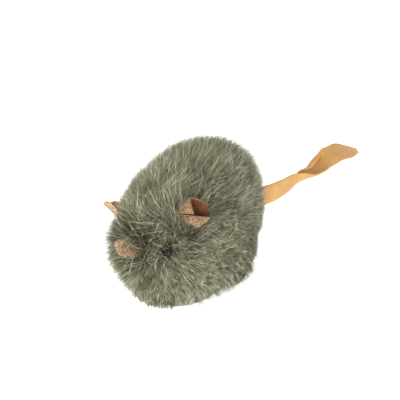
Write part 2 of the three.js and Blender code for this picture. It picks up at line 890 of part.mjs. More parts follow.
function addDriveFrame() {
  const motorRearX = gearPlateX - gap - motorLength;
  const baseTop = frameBaseZ + frameSheet;
  const plateEnd = gearPlateX + gearPlate;
  const outerEnd = outerPlateX + outerGearPlate;
  const barRearY = frameFrontY + frameBarWidth;
  const pieces = [
    box(motorRearX, plateEnd, frameFrontY, gearPlateRearY - gearPlate, frameBaseZ, baseTop),
    box(-frameEarX, frameEarX, frameFrontY, barRearY, frameBaseZ, baseTop),
    box(motorRearX, outerEnd, gearPlateFrontY, gearPlateRearY, deckZ, deckTopZ),
  ];
  for (const [x0, x1] of [
    [gearPlateX, plateEnd],
    [outerPlateX, outerEnd],
  ]) {
    pieces.push(box(x0, x1, gearPlateFrontY, gearPlateRearY, frameBaseZ, deckTopZ));
    pieces.push(
      box(x0, x1, gearPlateDropY, gearPlateRearY, frameBaseZ - gearPlateDrop, deckTopZ),
    );
  }
  const holes = [
    rodAlongX(idlerShaftRadius + gap, gearPlateX - gap, outerEnd + gap, idlerY, idlerZ, smallSides),
    rodAlongX(motorBossRadius + gap, gearPlateX - gap, plateEnd + gap, motorY, motorZ, roundSides),
    rodAlongZ(
      smallScrewRadius + gap,
      deckZ - cutOverrun / 2,
      deckTopZ + cutOverrun,
      boardScrewPlace.x,
      boardScrewPlace.y,
      smallSides,
    ),
    ...[1, -1].map((side) =>
      rodAlongZ(
        smallScrewRadius + gap,
        frameBaseZ - gap,
        baseTop + gap,
        side * framePostX,
        frameFrontY + frameBarWidth / 2,
        smallSides,
      ),
    ),
  ];
  add('drive_frame', geometryOf(without(joined(...pieces), ...holes)), framePlastic);

  for (const [side, name] of [
    [1, 'frame_screw_left'],
    [-1, 'frame_screw_right'],
  ]) {
    const screw = screwGeometry(
      smallScrewHeadRadius,
      smallScrewHeadHeight,
      smallScrewRadius,
      smallScrewReach,
    );
    screw.rotateX(halfTurn);
    const place = new THREE.Vector3(
      side * framePostX,
      frameFrontY + frameBarWidth / 2,
      baseTop + gap,
    );
    add(name, screw, steel, place);
  }
}

// Wheels: a hub with a web and a boss, and a tyre around its rim
function addWheels() {
  const rimRadius = wheelRadius - tyreThickness;
  const half = wheelWidth / 2;
  const bore = axleRadius + runningGap / 2;
  const hub = turned(
    [
      [bore, -half],
      [hubBossRadius, -half],
      [hubBossRadius, -hubWeb / 2],
      [rimRadius - hubWeb - gap, -hubWeb / 2],
      [rimRadius - hubWeb - gap, -half],
      [rimRadius - gap, -half],
      [rimRadius - gap, half],
      [rimRadius - hubWeb - gap, half],
      [rimRadius - hubWeb - gap, hubWeb / 2],
      [hubBossRadius, hubWeb / 2],
      [hubBossRadius, half],
      [0, half],
      [0, half - hubCap],
      [bore, half - hubCap],
      [bore, -half],
    ],
    roundSides,
  );
  const tyre = turned(
    [
      [rimRadius, -half],
      [wheelRadius - tyreShoulder, -half],
      [wheelRadius, -half / 2],
      [wheelRadius, half / 2],
      [wheelRadius - tyreShoulder, half],
      [rimRadius, half],
      [rimRadius, -half],
    ],
    wheelSides,
  );
  const centreX = wheelInnerX + half;
  for (const [side, label] of [
    [1, 'left'],
    [-1, 'right'],
  ]) {
    const place = new THREE.Vector3(side * centreX, axleY, axleZ);
    add(`wheel_hub_${label}`, hub.clone().rotateY(side * quarterTurn), hubPlastic, place);
    add(`tyre_${label}`, tyre.clone().rotateY(side * quarterTurn), tyreRubber, place);
    const inner = axleRadius + runningGap;
    const flangeHeight = bushingFlange;
    const throughWall = wellWall + gap;
    const bushing = turned(
      [
        [inner, -throughWall],
        [bushingRadius, -throughWall],
        [bushingRadius, gap],
        [bushingFlangeRadius, gap],
        [bushingFlangeRadius, gap + flangeHeight],
        [inner, gap + flangeHeight],
        [inner, -throughWall],
      ],
      roundSides,
    );
    const bushingPlace = new THREE.Vector3(side * (wellInnerX - wellWall), axleY, axleZ);
    add(`bushing_${label}`, bushing.rotateY(-side * quarterTurn), brass, bushingPlace);
  }
  const axleHalf = wheelOuterX - hubCap - gap;
  const axle = rodAlongX(axleRadius, -axleHalf, axleHalf, 0, 0, smallSides);
  add('rear_axle', axle, steel, new THREE.Vector3(0, axleY, axleZ));
}

// The caster's fork swivels about its stem and the wheel trails behind it
function addCaster() {
  const wheelY = casterY + casterTrail;
  const innerX = casterWheelWidth / 2 + casterSideGap;
  const outerX = innerX + casterCheek;
  const crownTop = casterCrownZ + casterCrown;
  const stemTop = casterWellTopZ + casterRoof + gap + retainerHeight;
  const crown = rodAlongZ(
    Math.hypot(outerX, casterTrail),
    casterCrownZ,
    crownTop,
    0,
    casterY,
    roundSides,
  );
  const stem = rodAlongZ(casterStemRadius, casterCrownZ, stemTop, 0, casterY, roundSides);
  const cheeks = [1, -1].flatMap((side) => {
    const x0 = Math.min(side * innerX, side * outerX);
    const x1 = Math.max(side * innerX, side * outerX);
    return [
      box(
        x0,
        x1,
        wheelY - casterCheekRadius,
        wheelY + casterCheekRadius,
        casterWheelRadius,
        crownTop,
      ),
      rodAlongX(casterCheekRadius, x0, x1, wheelY, casterWheelRadius, roundSides),
    ];
  });
  const axleHole = rodAlongX(
    casterAxleRadius + runningGap / 2,
    -outerX - gap,
    outerX + gap,
    wheelY,
    casterWheelRadius,
    smallSides,
  );
  const fork = geometryOf(without(joined(crown, stem, ...cheeks), axleHole));
  add('caster_fork', fork, framePlastic);

  const half = casterWheelWidth / 2;
  const bore = casterAxleRadius + runningGap;
  const edge = casterAxleRadius;
  const wheel = turned(
    [
      [bore, -half],
      [casterWheelRadius - edge, -half],
      [casterWheelRadius, -half + edge],
      [casterWheelRadius, half - edge],
      [casterWheelRadius - edge, half],
      [bore, half],
      [bore, -half],
    ],
    roundSides,
  );
  wheel.rotateY(quarterTurn);
  add('caster_wheel', wheel, tyreRubber, new THREE.Vector3(0, wheelY, casterWheelRadius));

  const axle = rodAlongX(casterAxleRadius, -outerX, outerX, 0, 0, smallSides);
  add('caster_axle', axle, steel, new THREE.Vector3(0, wheelY, casterWheelRadius));

  const ringBore = casterStemRadius + runningGap / 2;
  const retainer = turned(
    [
      [ringBore, 0],
      [retainerRadius, 0],
      [retainerRadius, retainerHeight],
      [ringBore, retainerHeight],
      [ringBore, 0],
    ],
    roundSides,
  );
  const ringPlace = new THREE.Vector3(0, casterY, casterWellTopZ + casterRoof + gap);
  add('caster_retainer', retainer, steel, ringPlace);
}

function addSwitch() {
  const half = switchLength / 2;
  const slotHalf = (knobLength + switchTravel) / 2 + gap;
  const slotWide = knobWidth / 2 + gap;
  const body = without(
    solidOf(
      box(
        -half,
        half,
        switchY - switchWidth / 2,
        switchY + switchWidth / 2,
        switchZ,
        switchZ + switchHeight,
      ),
    ),
    box(
      -slotHalf,
      slotHalf,
      switchY - slotWide,
      switchY + slotWide,
      switchZ - cutOverrun,
      switchZ + knobInside + gap,
    ),
  );
  add('switch_body', geometryOf(body), steel);
  const knobX = -switchTravel / 2;
  const knob = box(
    knobX - knobLength / 2,
    knobX + knobLength / 2,
    switchY - knobWidth / 2,
    switchY + knobWidth / 2,
    groundClearance - knobProud,
    switchZ + knobInside,
  );
  add('switch_knob', knob, chipBlack);
}

function addBoard() {
  const top = boardZ + boardThickness;
  const board = without(
    solidOf(box(boardRightX, boardLeftX, boardFrontY, boardRearY, boardZ, top)),
    rodAlongZ(
      smallScrewRadius + gap,
      boardZ - gap,
      top + gap,
      boardScrewPlace.x,
      boardScrewPlace.y,
      smallSides,
    ),
  );
  add('circuit_board', geometryOf(board), boardGreen);
  const chip = new THREE.BoxGeometry(chipSize, chipSize, chipHeight);
  const chipZ = top + gap + chipHeight / 2;
  add('controller_chip', chip, chipBlack, new THREE.Vector3(chipPlace.x, chipPlace.y, chipZ));
  const can = rodAlongZ(capacitorRadius, 0, capacitorHeight, 0, 0, roundSides);
  const canPlace = new THREE.Vector3(capacitorPlace.x, capacitorPlace.y, top + gap);
  add('filter_capacitor', can, steel, canPlace);
  const screw = screwGeometry(
    smallScrewHeadRadius,
    smallScrewHeadHeight,
    smallScrewRadius,
    boardThickness + 2 * gap + frameSheet,
  );
  screw.rotateX(halfTurn);
  const screwPlace = new THREE.Vector3(boardScrewPlace.x, boardScrewPlace.y, top + gap);
  add('board_screw', screw, steel, screwPlace);
}

// Insulated leads, each a round tube along its route
function addLead(name, material, route) {
  const section = new THREE.Shape(
    Array.from({ length: leadSides }, (_, index) =>
      polar(leadRadius, (index / leadSides) * 2 * Math.PI),
    ),
  );
  const geometry = new THREE.ExtrudeGeometry(section, {
    steps: leadSteps,
    extrudePath: new THREE.CatmullRomCurve3(route),
    bevelEnabled: false,
  });
  add(name, geometry, material);
}

function addLeads() {
  const boardTop = boardZ + boardThickness;
  const solder = boardTop + gap;
  const motorRearX = gearPlateX - gap - motorLength;
  const terminalX = motorRearX - terminalLength - gap;
  for (const [side, name, material] of [
    [1, 'motor_lead_red', redLead],
    [-1, 'motor_lead_black', blackLead],
  ]) {
    const y = motorY + (side * terminalSpread) / 2;
    addLead(name, material, [
      new THREE.Vector3(terminalX, y, motorZ),
      new THREE.Vector3(terminalX - leadBend / 2, y, motorZ + leadBend),
      new THREE.Vector3(terminalX - leadBend / 3, y, boardTop + leadBend / 2),
      new THREE.Vector3(boardRightX - leadBend / 2, y, boardTop + 2 * leadBend),
      new THREE.Vector3(boardRightX + leadBend, y, solder + leadRadius * 2),
      new THREE.Vector3(boardRightX + leadBend, y, solder),
    ]);
  }
  const tabY = cellY - bayHalfY + gap + contactTabWidth / 2;
  for (const [side, name, material] of [
    [1, 'battery_lead_black', blackLead],
    [-1, 'battery_lead_red', redLead],
  ]) {
    const tabX = side * (bayHalfX - gap - contactSheet / 2);
    const tabTop = bayRoofZ + contactTabLength / 2 + gap;
    const endX = side * (-boardRightX - leadBend * 2);
    addLead(name, material, [
      new THREE.Vector3(tabX, tabY, tabTop),
      new THREE.Vector3(tabX, tabY, tabTop + leadBend),
      new THREE.Vector3(endX, boardFrontY - 2 * leadBend, motorZ + leadBend),
      new THREE.Vector3(endX, boardFrontY - leadBend, boardTop + leadBend),
      new THREE.Vector3(endX, boardFrontY + leadBend / 2, boardTop + leadBend + leadRadius),
      new THREE.Vector3(endX, boardFrontY + leadBend, solder),
    ]);
  }
  for (const [side, name, material] of [
    [1, 'switch_lead_yellow', yellowLead],
    [-1, 'switch_lead_red', redLead],
  ]) {
    const x = (side * switchLength) / 4;
    const top = switchZ + switchHeight + gap;
    addLead(name, material, [
      new THREE.Vector3(x, switchY, top),
      new THREE.Vector3(x, switchY, top + leadBend * 2),
      new THREE.Vector3(x, boardRearY + leadBend * 1.5, boardTop - leadBend * 2),
      new THREE.Vector3(x, boardRearY + leadBend / 2, boardTop + leadBend),
      new THREE.Vector3(x, boardRearY - leadBend / 2, boardTop + leadBend + leadRadius),
      new THREE.Vector3(x, boardRearY - leadBend, solder),
    ]);
  }
}

function addUpperShell() {
  const outer = dome(
    chassisHalfWidth,
    chassisHalfLength,
    shellRimZ,
    shellShoulderZ,
    shellTopZ,
  );
  const inner = dome(
    chassisHalfWidth - shellWall,
    chassisHalfLength - shellWall,
    shellRimZ - cutOverrun,
    shellShoulderZ,
    shellTopZ - shellWall,
  );
  const block = solidOf(outer);
  let shell = block.subtract(solidOf(inner));
  for (const post of casePosts) {
    const boss = rodAlongZ(casePostRadius, shellRimZ, shellTopZ, post.x, post.y, smallSides);
    shell = shell.add(solidOf(boss).intersect(block));
    shell = without(
      shell,
      rodAlongZ(
        caseScrewRadius + gap,
        0,
        chassisRimZ + caseScrewReach + gap,
        post.x,
        post.y,
        smallSides,
      ),
    );
  }
  for (const side of [1, -1]) {
    const arch = rodAlongX(
      wellRadius + wellWall + gap,
      side * (wellInnerX - wellWall - gap),
      side * (wheelOuterX + wheelWellSideGap + wellWall),
      axleY,
      axleZ,
      wheelSides,
    );
    shell = without(shell, arch);
  }
  add('upper_shell', geometryOf(shell), casePlastic);
}

function addPadding() {
  const outer = dome(
    paddingHalfWidth,
    paddingHalfLength,
    shellRimZ + paddingHemLift,
    shellShoulderZ,
    paddingTopZ,
  );
  const inner = dome(
    chassisHalfWidth + gap,
    chassisHalfLength + gap,
    shellRimZ - cutOverrun,
    shellShoulderZ,
    shellTopZ + gap,
  );
  const padding = solidOf(outer).subtract(solidOf(inner));
  add('back_padding', geometryOf(padding), waddingMaterial);
}

// Rolled suede: a wrapped cone of sheet with an open side and two raised corners
function rolledSuede(length, mouthRadius, tipRadius) {
  const along = Array.from({ length: earAlongSteps + 1 }, (_, step) => step / earAlongSteps);
  const point = (acrossShare, alongShare, inset) => {
    const turn = (acrossShare - 0.5) * earWrap;
    const rim = 1 + earRimShare * Math.cos(2 * turn);
    const radius = tipRadius + (mouthRadius - tipRadius) * alongShare - inset;
    return new THREE.Vector3(
      radius * Math.cos(turn),
      radius * Math.sin(turn),
      length * alongShare * rim,
    );
  };
  const rings = Array.from({ length: earAcrossSteps + 1 }, (_, step) => {
    const share = step / earAcrossSteps;
    const outside = along.map((alongShare) => point(share, alongShare, 0));
    const inside = [...along].reverse().map((alongShare) => point(share, alongShare, suede));
    return [...outside, ...inside];
  });
  return rolledSolid(rings);
}

function rolledSolid(rings) {
  const geometry = stack(rings);
  return geometryOf(solidOf(facingOut(geometry)));
}

// Turns a closed mesh's faces outwards if its volume comes out negative
function facingOut(geometry) {
  const position = geometry.attributes.position;
  const index = geometry.index.array;
  const [a, b, c] = [new THREE.Vector3(), new THREE.Vector3(), new THREE.Vector3()];
  let volume = 0;
  for (let corner = 0; corner < index.length; corner += 3) {
    a.fromBufferAttribute(position, index[corner]);
    b.fromBufferAttribute(position, index[corner + 1]);
    c.fromBufferAttribute(position, index[corner + 2]);
    volume += a.dot(b.cross(c));
  }
  if (volume < 0) geometry.setIndex(Array.from(index).reverse());
  return geometry;
}

function aimed(geometry, root, aim) {
  const turn = new THREE.Quaternion().setFromUnitVectors(
    new THREE.Vector3(0, 0, 1),
    aim.clone().normalize(),
  );
  geometry.applyQuaternion(turn);
  geometry.translate(root.x, root.y, root.z);
  return geometry;
}

// Cone shaped room for a rolled piece, a little wider than the piece itself
function socket(length, mouthRadius, tipRadius) {
  const reach = 1 + earRimShare;
  const profile = [
    [0, -gap],
    [tipRadius + gap, -gap],
    [tipRadius + gap + (mouthRadius - tipRadius) * reach, length * reach],
    [0, length * reach],
  ];
  return turned(profile, roundSides);
}

const ears = [
  {
    name: 'ear_left',
    length: earLength,
    radius: earMouthRadius,
    root: leftEarRoot,
    aim: leftEarAim,
  },
  {
    name: 'ear_right',
    length: farEarLength,
    radius: farEarMouthRadius,
    root: rightEarRoot,
    aim: rightEarAim,
  },
];

function addEars() {
  for (const ear of ears) {
    const sheet = rolledSuede(ear.length, ear.radius, earTipRadius);
    add(ear.name, aimed(sheet, ear.root, ear.aim), suedeMaterial);
  }
}

function noseGeometry(grow) {
  const low = grow > 0 ? 0 : gap;
  return turned(
    [
      [0, low],
      [noseRadius + grow, low],
      [noseTipRadius + grow, noseLength - noseTipRadius],
      [0, noseLength + grow],
    ],
    smallSides,
  );
}

function addNose() {
  add('nose', aimed(noseGeometry(0), noseRoot, noseAim), suedeMaterial);
}

// A bead eye's place on one side, sunk in the pile along the coat's own slope
function eyeAim(side) {
  return new THREE.Vector3(
    (side * eyeShares.across) / coatHalfWidth,
    eyeShares.along / coatHalfLength,
    eyeShares.up / coatHalfHeight,
  ).normalize();
}

function eyeRoot(side) {
  const place = inCoat({ ...eyeShares, across: side * eyeShares.across });
  return place.addScaledVector(eyeAim(side), -eyeShankLength - eyeDepth);
}

function addEyes() {
  for (const [side, name] of [
    [1, 'eye_left'],
    [-1, 'eye_right'],
  ]) {
    const bead = new THREE.SphereGeometry(eyeRadius, roundSides, smallSides);
    bead.translate(0, 0, eyeShankLength + eyeRadius);
    const shank = rodAlongZ(
      eyeShankRadius,
      gap,
      eyeShankLength + eyeRadius,
      0,
      0,
      smallSides,
    );
    add(name, aimed(geometryOf(joined(bead, shank)), eyeRoot(side), eyeAim(side)), beadMaterial);
  }
}

// The tail's middle line, from the coat's backing back and down
function tailCurve() {
  const points = tailRouteShares.map(
    ({ along, down }) =>
      new THREE.Vector3(0, tailRootY + tailReach * along, tailRootZ - tailDroop * down),
  );
  return new THREE.CatmullRomCurve3(points);
}

// The ribbon's section at each step turns about the middle line
function tailGeometry(width, thickness, fromShare, toShare) {
  const curve = tailCurve();
  const across = new THREE.Vector3(1, 0, 0);
  const rings = [];
  for (let step = 0; step <= tailSteps; step += 1) {
    const share = fromShare + ((toShare - fromShare) * step) / tailSteps;
    const middle = curve.getPointAt(Math.min(1, Math.max(0, share)));
    const forward = curve.getTangentAt(Math.min(1, Math.max(0, share)));
    const up = new THREE.Vector3().crossVectors(across, forward).normalize();
    const turned = THREE.MathUtils.smoothstep(share, tailTwistStartShare, tailTwistEndShare);
    const angle = tailRootTilt + tailTwist * turned;
    const sideways = across.clone().multiplyScalar(Math.cos(angle));
    sideways.addScaledVector(up, Math.sin(angle));
    const facing = new THREE.Vector3().crossVectors(forward, sideways);
    const end = Math.max(0, (share - (1 - tailRoundShare)) / tailRoundShare);
    const narrow = tailTipShare + (1 - tailTipShare) * Math.cos(end * quarterTurn);
    rings.push(
      [
        [-1, -1],
        [1, -1],
        [1, 1],
        [-1, 1],
      ].map(([wide, thick]) =>
        middle
          .clone()
          .addScaledVector(sideways, (wide * width * narrow) / 2)
          .addScaledVector(facing, (thick * thickness) / 2),
      ),
    );
  }
  return facingOut(stack(rings));
}

function addTail() {
  add('tail', geometryOf(solidOf(tailGeometry(tailWidth, suede, 0, 1))), tailMaterial);
}

// The coat: an egg shaped solid, hollow over the padding and open below
function addCoat() {
  const rings = [];
  const lowSpan = coatCentreZ - coatHemZ;
  for (let step = 0; step < coatSteps; step += 1) {
    const drop = lowSpan * (1 - step / coatSteps);
    const spread = (1 - (drop / coatHalfHeight) ** coatBellyRoundness) ** (1 / coatBellyRoundness);
    rings.push(
      oval(
        coatCentreZ - drop,
        coatHalfWidth * spread,
        coatHalfLength * spread,
        coatRoundness,
        coatTaperShare,
      ),
    );
  }
  for (let step = 0; step < coatSteps; step += 1) {
    const lean = (step / coatSteps) * quarterTurn;
    rings.push(
      oval(
        coatCentreZ + coatHalfHeight * Math.sin(lean),
        coatHalfWidth * Math.cos(lean),
        coatHalfLength * Math.cos(lean),
        coatRoundness,
        coatTaperShare,
      ),
    );
  }
  const outer = stack(rings, new THREE.Vector3(0, 0, coatHemZ), new THREE.Vector3(0, 0, coatTopZ));
  const inner = dome(
    paddingHalfWidth + gap,
    paddingHalfLength + gap,
    coatHemZ - cutOverrun,
    shellShoulderZ,
    paddingTopZ + gap,
  );
  const cutters = [inner, tailSlot(), aimed(noseGeometry(gap), noseRoot, noseAim)];
  for (const ear of ears) {
    cutters.push(aimed(socket(ear.length, ear.radius, earTipRadius), ear.root, ear.aim));
  }
  for (const side of [1, -1]) {
    const room = rodAlongZ(eyeRadius + gap, 0, eyeShankLength + coatHalfWidth, 0, 0, smallSides);
    cutters.push(aimed(room, eyeRoot(side), eyeAim(side)));
  }
  add('fur_coat', geometryOf(without(solidOf(outer), ...cutters)), furMaterial);
}

function tailSlot() {
  const through = (coatHalfLength - tailRootY) / tailReach;
  return tailGeometry(tailWidth + 2 * gap, suede + 2 * gap, 0, through + tailTwistStartShare / 2);
}

addChassis();
addBatteryDoor();
addCells();
addContacts();
addGears();
addMotor();
addDriveFrame();
addWheels();
addCaster();
addSwitch();
addBoard();
addLeads();
addUpperShell();
addCaseScrews();
addPadding();
addEars();
addNose();
addEyes();
addTail();
addCoat();

// The origin lies on the floor below the middle of the whole toy
const bounds = new THREE.Box3().setFromObject(mouse);
const middle = bounds.getCenter(new THREE.Vector3());
mouse.position.set(-middle.x, -middle.y, -bounds.min.z);

export default mouse;
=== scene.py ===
"""Electric mouse cat toy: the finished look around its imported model.

Metres, +Z up. The mouse faces -Y and its left side is +X.
"""
import json
from collections import namedtuple
from math import ceil, cos, exp, pi, radians, sin, sqrt

import bpy
import numpy as np
from mathutils import Matrix, Vector
from mathutils.kdtree import KDTree
from numpy.linalg import norm


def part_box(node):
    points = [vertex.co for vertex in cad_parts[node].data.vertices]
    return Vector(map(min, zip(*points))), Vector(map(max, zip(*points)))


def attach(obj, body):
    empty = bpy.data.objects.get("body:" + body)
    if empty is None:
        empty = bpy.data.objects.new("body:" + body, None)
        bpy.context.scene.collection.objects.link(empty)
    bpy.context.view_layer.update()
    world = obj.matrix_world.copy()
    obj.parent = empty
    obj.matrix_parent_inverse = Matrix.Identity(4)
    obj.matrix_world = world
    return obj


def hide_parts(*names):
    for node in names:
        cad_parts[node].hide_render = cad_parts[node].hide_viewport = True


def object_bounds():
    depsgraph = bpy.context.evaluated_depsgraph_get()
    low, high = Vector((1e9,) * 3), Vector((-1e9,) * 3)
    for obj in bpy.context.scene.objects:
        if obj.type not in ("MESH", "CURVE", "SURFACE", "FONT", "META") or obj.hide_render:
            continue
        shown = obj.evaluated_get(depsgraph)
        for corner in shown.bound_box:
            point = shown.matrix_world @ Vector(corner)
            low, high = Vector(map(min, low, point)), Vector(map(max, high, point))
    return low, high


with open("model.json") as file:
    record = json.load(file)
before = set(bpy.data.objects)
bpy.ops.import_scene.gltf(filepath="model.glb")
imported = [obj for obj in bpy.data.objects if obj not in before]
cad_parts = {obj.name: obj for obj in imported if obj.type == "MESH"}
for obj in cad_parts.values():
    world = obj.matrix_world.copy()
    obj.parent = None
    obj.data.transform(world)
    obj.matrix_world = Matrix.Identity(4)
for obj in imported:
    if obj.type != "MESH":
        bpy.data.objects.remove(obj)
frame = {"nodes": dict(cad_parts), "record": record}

MM = 0.001
cad_low, cad_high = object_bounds()
coat_low, coat_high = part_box("fur_coat")
padding_low, padding_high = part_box("back_padding")
floor_height = cad_low.z
nodes = frame["nodes"]
scene = bpy.context.scene

# Where the coat's middle is below its top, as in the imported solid
COAT_HALF_HEIGHT = 36 * MM
body_centre = Vector(
    ((coat_low.x + coat_high.x) / 2, (coat_low.y + coat_high.y) / 2, coat_high.z - COAT_HALF_HEIGHT)
)


def add_object(name, data):
    made = bpy.data.objects.new(name, data)
    scene.collection.objects.link(made)
    return made


# Camera
def picture_axes(azimuth, elevation, roll):
    """The camera's right, up and backward directions."""
    a, e = radians(azimuth), radians(elevation)
    back = Vector((sin(a) * cos(e), -cos(a) * cos(e), sin(e)))
    right = Vector((cos(a), sin(a), 0))
    turn = Matrix.Rotation(radians(roll), 3, back)
    return turn @ right, turn @ back.cross(right), back


FRAME_PIXELS = 400
PIXELS_PER_METRE = 2040
BODY_PIXEL = (188, 221)
CAMERA_DISTANCE = 3.0
SENSOR = 36
# Azimuth off the nose, elevation and roll, in degrees
CAMERA_ANGLES = (42, 28, -10)
picture_right, picture_up, picture_back = picture_axes(*CAMERA_ANGLES)


def add_camera():
    half_frame = FRAME_PIXELS / 2
    aim = (
        body_centre
        + picture_right * (half_frame - BODY_PIXEL[0]) / PIXELS_PER_METRE
        - picture_up * (half_frame - BODY_PIXEL[1]) / PIXELS_PER_METRE
    )
    data = bpy.data.cameras.new("camera")
    data.sensor_width = SENSOR
    data.lens = SENSOR * CAMERA_DISTANCE / (FRAME_PIXELS / PIXELS_PER_METRE)
    camera = add_object("camera", data)
    axes = Matrix((picture_right, picture_up, picture_back)).transposed().to_4x4()
    camera.matrix_world = Matrix.Translation(aim + picture_back * CAMERA_DISTANCE) @ axes
    scene.camera = camera


add_camera()


# Meshes
def with_values(made, values):
    for key, value in values.items():
        setattr(made, key, value)
    return made


def mesh_object(name, vertices, faces, material):
    mesh = bpy.data.meshes.new(name)
    mesh.from_pydata([tuple(v) for v in vertices], [], faces)
    mesh.update()
    mesh.polygons.foreach_set("use_smooth", [True] * len(mesh.polygons))
    mesh.materials.append(material)
    return add_object(name, mesh)


def grid_faces(rows, columns, closed=False):
    """Quads between a grid's rows; a closed grid joins its last column to its first."""
    faces = []
    for start in range(0, (rows - 1) * columns, columns):
        for column in range(columns if closed else columns - 1):
            here, beside = start + column, start + (column + 1) % columns
            faces.append((here, beside, beside + columns, here + columns))
    return faces


def last_row(rows, columns):
    """One face across the last row of a closed grid."""
    return tuple((rows - 1) * columns + column for column in range(columns))


def tube_faces(rows, columns):
    """A closed grid's faces with one face across each end."""
    return [*grid_faces(rows, columns, True), tuple(range(columns))[::-1], last_row(rows, columns)]


def add_modifier(made, name, kind, **values):
    with_values(made.modifiers.new(name, kind), values)


def make_hide(made, thickness, rounding):
    """Gives a sheet of leather its thickness and rounds its cut edges."""
    add_modifier(made, "hide", "SOLIDIFY", thickness=thickness, offset=0.0)
    add_modifier(made, "edges", "BEVEL", width=rounding, segments=2, limit_method="ANGLE")


def joined_to(made, slot, *replaced):
    """The piece rides on the body and stands for these nodes; its slot is not used."""
    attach(made, "body")
    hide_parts(*replaced)


# Materials
def set_inputs(node, **values):
    """Sets a node's sockets by name, with _ for each space."""
    for key, value in values.items():
        node.inputs[key.replace("_", " ")].default_value = value


class Nodes:
    """A material's node tree, with short ways to add nodes."""

    def __init__(self, name, **values):
        self.material = bpy.data.materials.new(name)
        self.material.use_nodes = True
        self.tree = self.material.node_tree
        self.shader = self.tree.nodes["Principled BSDF"]
        set_inputs(self.shader, **values)

    def add(self, kind, **values):
        return with_values(self.tree.nodes.new(kind), values)

    def link(self, source, target):
        self.tree.links.new(source, target)

    def place(self, scale=(1, 1, 1)):
        """Object coordinates, scaled along each axis."""
        coordinates = self.add("ShaderNodeTexCoord")
        mapping = self.add("ShaderNodeMapping")
        set_inputs(mapping, Scale=scale)
        self.link(coordinates.outputs["Object"], mapping.inputs["Vector"])
        return mapping.outputs["Vector"]

    def noise(self, scale, detail=3.0, roughness=0.5, stretch=(1, 1, 1)):
        made = self.add("ShaderNodeTexNoise")
        set_inputs(made, Scale=scale, Detail=detail, Roughness=roughness)
        self.link(self.place(stretch), made.inputs["Vector"])
        return made.outputs["Fac"]

    def cells(self, scale):
        made = self.add("ShaderNodeTexVoronoi", feature="F1")
        set_inputs(made, Scale=scale)
        self.link(self.place(), made.inputs["Vector"])
        return made.outputs["Distance"]

    def ramp(self, source, stops):
        """Colours or greys along a value, as (place, colour) stops."""
        made = self.add("ShaderNodeValToRGB")
        elements = made.color_ramp.elements
        while len(elements) < len(stops):
            elements.new(0.5)
        for element, (place, colour) in zip(elements, stops):
            element.position = place
            element.color = (*colour, 1) if hasattr(colour, "__len__") else (colour,) * 3 + (1,)
        self.link(source, made.inputs["Fac"])
        return made.outputs["Color"]

    def mix(self, amount, first, second, blend="MIX"):
        made = self.add("ShaderNodeMix", data_type="RGBA", blend_type=blend)
        for place, value in ((0, amount), (6, first), (7, second)):
            if isinstance(value, bpy.types.NodeSocket):
                self.link(value, made.inputs[place])
            else:
                made.inputs[place].default_value = (*value, 1) if place else value
        return made.outputs[2]

    def range(self, source, low, high, start=0, stop=1):
        """A value that goes from low to high as its source goes from start to stop."""
        made = self.add("ShaderNodeMapRange")
        set_inputs(made, From_Min=start, From_Max=stop, To_Min=low, To_Max=high)
        self.link(source, made.inputs["Value"])
        return made.outputs["Result"]

    def height_along(self, way, low, high):
        """0 below one height along a direction, 1 above another."""
        height = self.add("ShaderNodeVectorMath", operation="DOT_PRODUCT")
        height.inputs[1].default_value = way
        self.link(self.place(), height.inputs[0])
        return self.range(height.outputs["Value"], 0, 1, start=low, stop=high)

    def colour(self, source):
        self.link(source, self.shader.inputs["Base Color"])

    def roughness(self, source, low, high):
        self.link(self.range(source, low, high), self.shader.inputs["Roughness"])

    def bump(self, source, depth, strength):
        made = self.add("ShaderNodeBump")
        set_inputs(made, Strength=strength, Distance=depth)
        self.link(source, made.inputs["Height"])
        self.link(made.outputs["Normal"], self.shader.inputs["Normal"])


def shade(colour, factor):
    return tuple(min(1.0, c * factor) for c in colour)


def moulded_plastic(name, colour, roughness=0.45):
    """Spark eroded grain, faint flow marks and a little rubbed shine."""
    made = Nodes(name)
    flow = made.noise(90, detail=4, roughness=0.6, stretch=(1, 0.35, 1))
    grain = made.cells(2600)
    tone = made.ramp(flow, [(0.3, shade(colour, 0.86)), (0.7, shade(colour, 1.12))])
    made.colour(made.mix(0.25, tone, made.ramp(grain, [(0, shade(colour, 0.7)), (0.5, colour)])))
    made.roughness(flow, roughness - 0.08, roughness + 0.14)
    made.bump(grain, depth=0.05 * MM, strength=0.5)
    return made.material


def brushed_metal(name, colour, roughness=0.3, stretch=(1, 14, 14)):
    made = Nodes(name, Metallic=1.0)
    streaks = made.noise(320, detail=5, roughness=0.65, stretch=stretch)
    stains = made.noise(120)
    tone = made.ramp(streaks, [(0.25, shade(colour, 0.78)), (0.75, shade(colour, 1.08))])
    worn = made.ramp(stains, [(0.45, shade(colour, 0.75)), (0.62, colour)])
    made.colour(made.mix(0.35, tone, worn))
    made.roughness(streaks, roughness - 0.1, roughness + 0.15)
    made.bump(streaks, depth=0.02 * MM, strength=0.4)
    return made.material


def rubber(name, colour):
    """Matt rubber with dust worked into it and fine pits."""
    made = Nodes(name)
    dust = made.noise(260, detail=5, roughness=0.7)
    pits = made.cells(1500)
    made.colour(made.ramp(dust, [(0.35, colour), (0.75, shade(colour, 2.4))]))
    made.roughness(dust, 0.7, 0.95)
    made.bump(pits, depth=0.08 * MM, strength=0.6)
    return made.material


